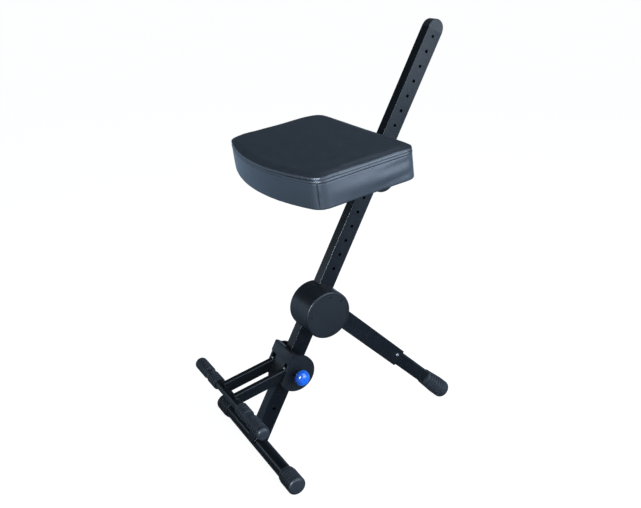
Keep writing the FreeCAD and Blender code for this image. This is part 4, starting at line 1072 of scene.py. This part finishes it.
def stage_floor():
    """white to the camera, grey paper to soft light, and in reflections dim, with a painted shadow near the
    stool
    """
    bm = bmesh.new()
    bmesh.ops.create_grid(bm, x_segments=1, y_segments=1, size=FLOOR_HALF)
    bmesh.ops.translate(bm, verts=bm.verts, vec=(0, 0, -FLOOR_DROP))
    obj = plain_object("floor", bm)
    paper = Finish("white_paper")
    paper.surface(Base_Color=shade(0.82, 0.82, 0.82), Roughness=0.9)
    own = Term(paper, paper.shader.outputs[0])
    # painted shadow: in reflections the floor is darker near the stool and brighter far away
    away = paper.add("ShaderNodeVectorMath", {"operation": "LENGTH"}, {0: paper.place}, out="Value")
    far = paper.between(away, 0.35, 1.95)
    glow_with_painted_shadow = paper.blend(far, shade(0.071, 0.0995, 0.1364), shade(0.52, 0.73, 1.0))
    dim = paper.add("ShaderNodeEmission", inputs={"Color": glow_with_painted_shadow, "Strength": 1.1})
    white = paper.add("ShaderNodeEmission", inputs={"Color": shade(1, 1, 1), "Strength": 1.21})
    mirrored = paper.between(paper.ray("Is Glossy Ray") + paper.ray("Is Transmission Ray"), 0, 1)
    reflected = paper.add("ShaderNodeMixShader", inputs={"Fac": mirrored, 1: own, 2: dim})
    seen = paper.ray("Is Camera Ray") * WHITE_SHARE
    mixed = paper.add("ShaderNodeMixShader", inputs={"Fac": seen, 1: reflected, 2: white})
    paper.feed(paper.tree.nodes["Material Output"].inputs["Surface"], mixed)
    obj.data.materials.append(paper.material)
    print("floor", 2 * FLOOR_HALF, "m wide")


stage_floor()

# %% [markdown]
# ## Room
# Behind the stool the camera sees white. In reflections the room is dim and blue, with walls that are
# lighter near the floor, so the dark tubes show soft gradients.

# %% World
HORIZON = 0.14


def studio_world():
    """white to the camera, but a dim blue room in reflections and soft light"""
    world = bpy.data.worlds.new("studio")
    bpy.context.scene.world = world
    world.use_nodes = True
    room = Nodes(world.node_tree)
    place = room.add("ShaderNodeTexCoord", out="Generated")
    height = room.add("ShaderNodeSeparateXYZ", inputs={0: place}, out="Z")
    walls = room.blend(room.between(height, 0, HORIZON), shade(0.30, 0.39, 0.48), shade(0.082, 0.114, 0.15))
    seen = room.blend(room.ray("Is Camera Ray"), walls, shade(1, 1, 1))
    room.feed(room.tree.nodes["Background"].inputs["Color"], seen)
    print("world", world.name)


studio_world()

# %% [markdown]
# ## Lamps
# Soft lamps light the stool from the right and from above. Two strips are seen only in reflections: one
# draws the post's edges, the other the line along the floor bar. The camera sees none of the lamps.

# %% Softboxes and strips
LAMP_COLOUR = (0.74, 0.87, 1)


def softbox(name, place, aim, size, watts, only_mirrored=False):
    lamp = bpy.data.lights.new(name, "AREA")
    lamp.shape = "RECTANGLE"
    lamp.size, lamp.size_y = size
    lamp.energy = watts
    lamp.color = LAMP_COLOUR
    obj = bpy.data.objects.new(name, lamp)
    obj.location = place
    obj.rotation_euler = (Vector(aim) - Vector(place)).to_track_quat("-Z", "Y").to_euler()
    obj.visible_diffuse = not only_mirrored
    obj.visible_camera = False
    bpy.context.scene.collection.objects.link(obj)


softbox("right_softbox", place=(2.25, 0.8, 1.15), aim=(0, -0.1, 0.5), size=(1.9, 1.5), watts=64)
softbox("top_softbox", place=(0.85, 0.6, 2.2), aim=(0, -0.1, 0.4), size=(1.2, 1.2), watts=22)
softbox("edge_strip", place=(1.45, -2.0, 1.2), aim=(0, -0.1, 0.5), size=(0.5, 0.9), watts=120,
        only_mirrored=True)
softbox("bar_strip", place=(-2.0, -2.09, 0.87), aim=(0.09, -0.22, 0.02), size=(0.35, 0.35), watts=3.3,
        only_mirrored=True)
print("lit by", len(bpy.data.lights), "lamps")

# %% [markdown]
# ## Camera
# The camera stands where the photograph was taken from. A fit to the stool's outline gave its direction,
# its distance, its focal length in pixels and the pixel that the lens points at.

# %% Camera at the photograph's place
AZIMUTH = math.radians(59.684)
ELEVATION = math.radians(20.532)
DISTANCE = 1.60445
TARGET = Vector((-0.00057, -0.06704, 0.4780))
PICTURE_WIDTH = 641
PICTURE_MIDDLE = (320.5, 254)
LENS_PIXEL = (315.54, 237.18)
FOCAL_PIXELS = 751.99
SENSOR = 36
back = Vector((math.sin(AZIMUTH) * math.cos(ELEVATION),
               -math.cos(AZIMUTH) * math.cos(ELEVATION),
               math.sin(ELEVATION)))
camera = bpy.data.objects.new("camera", bpy.data.cameras.new("camera"))
camera.location = TARGET + back * DISTANCE
camera.rotation_euler = (-back).to_track_quat("-Z", "Y").to_euler()
camera.data.sensor_width = SENSOR
camera.data.lens = FOCAL_PIXELS * SENSOR / PICTURE_WIDTH
camera.data.shift_x = (PICTURE_MIDDLE[0] - LENS_PIXEL[0]) / PICTURE_WIDTH
camera.data.shift_y = (LENS_PIXEL[1] - PICTURE_MIDDLE[1]) / PICTURE_WIDTH
camera.data.clip_end = 400
bpy.context.scene.collection.objects.link(camera)
bpy.context.scene.camera = camera
bpy.context.scene.view_settings.view_transform = "Standard"
print("camera", tuple(round(v, 3) for v in camera.location))
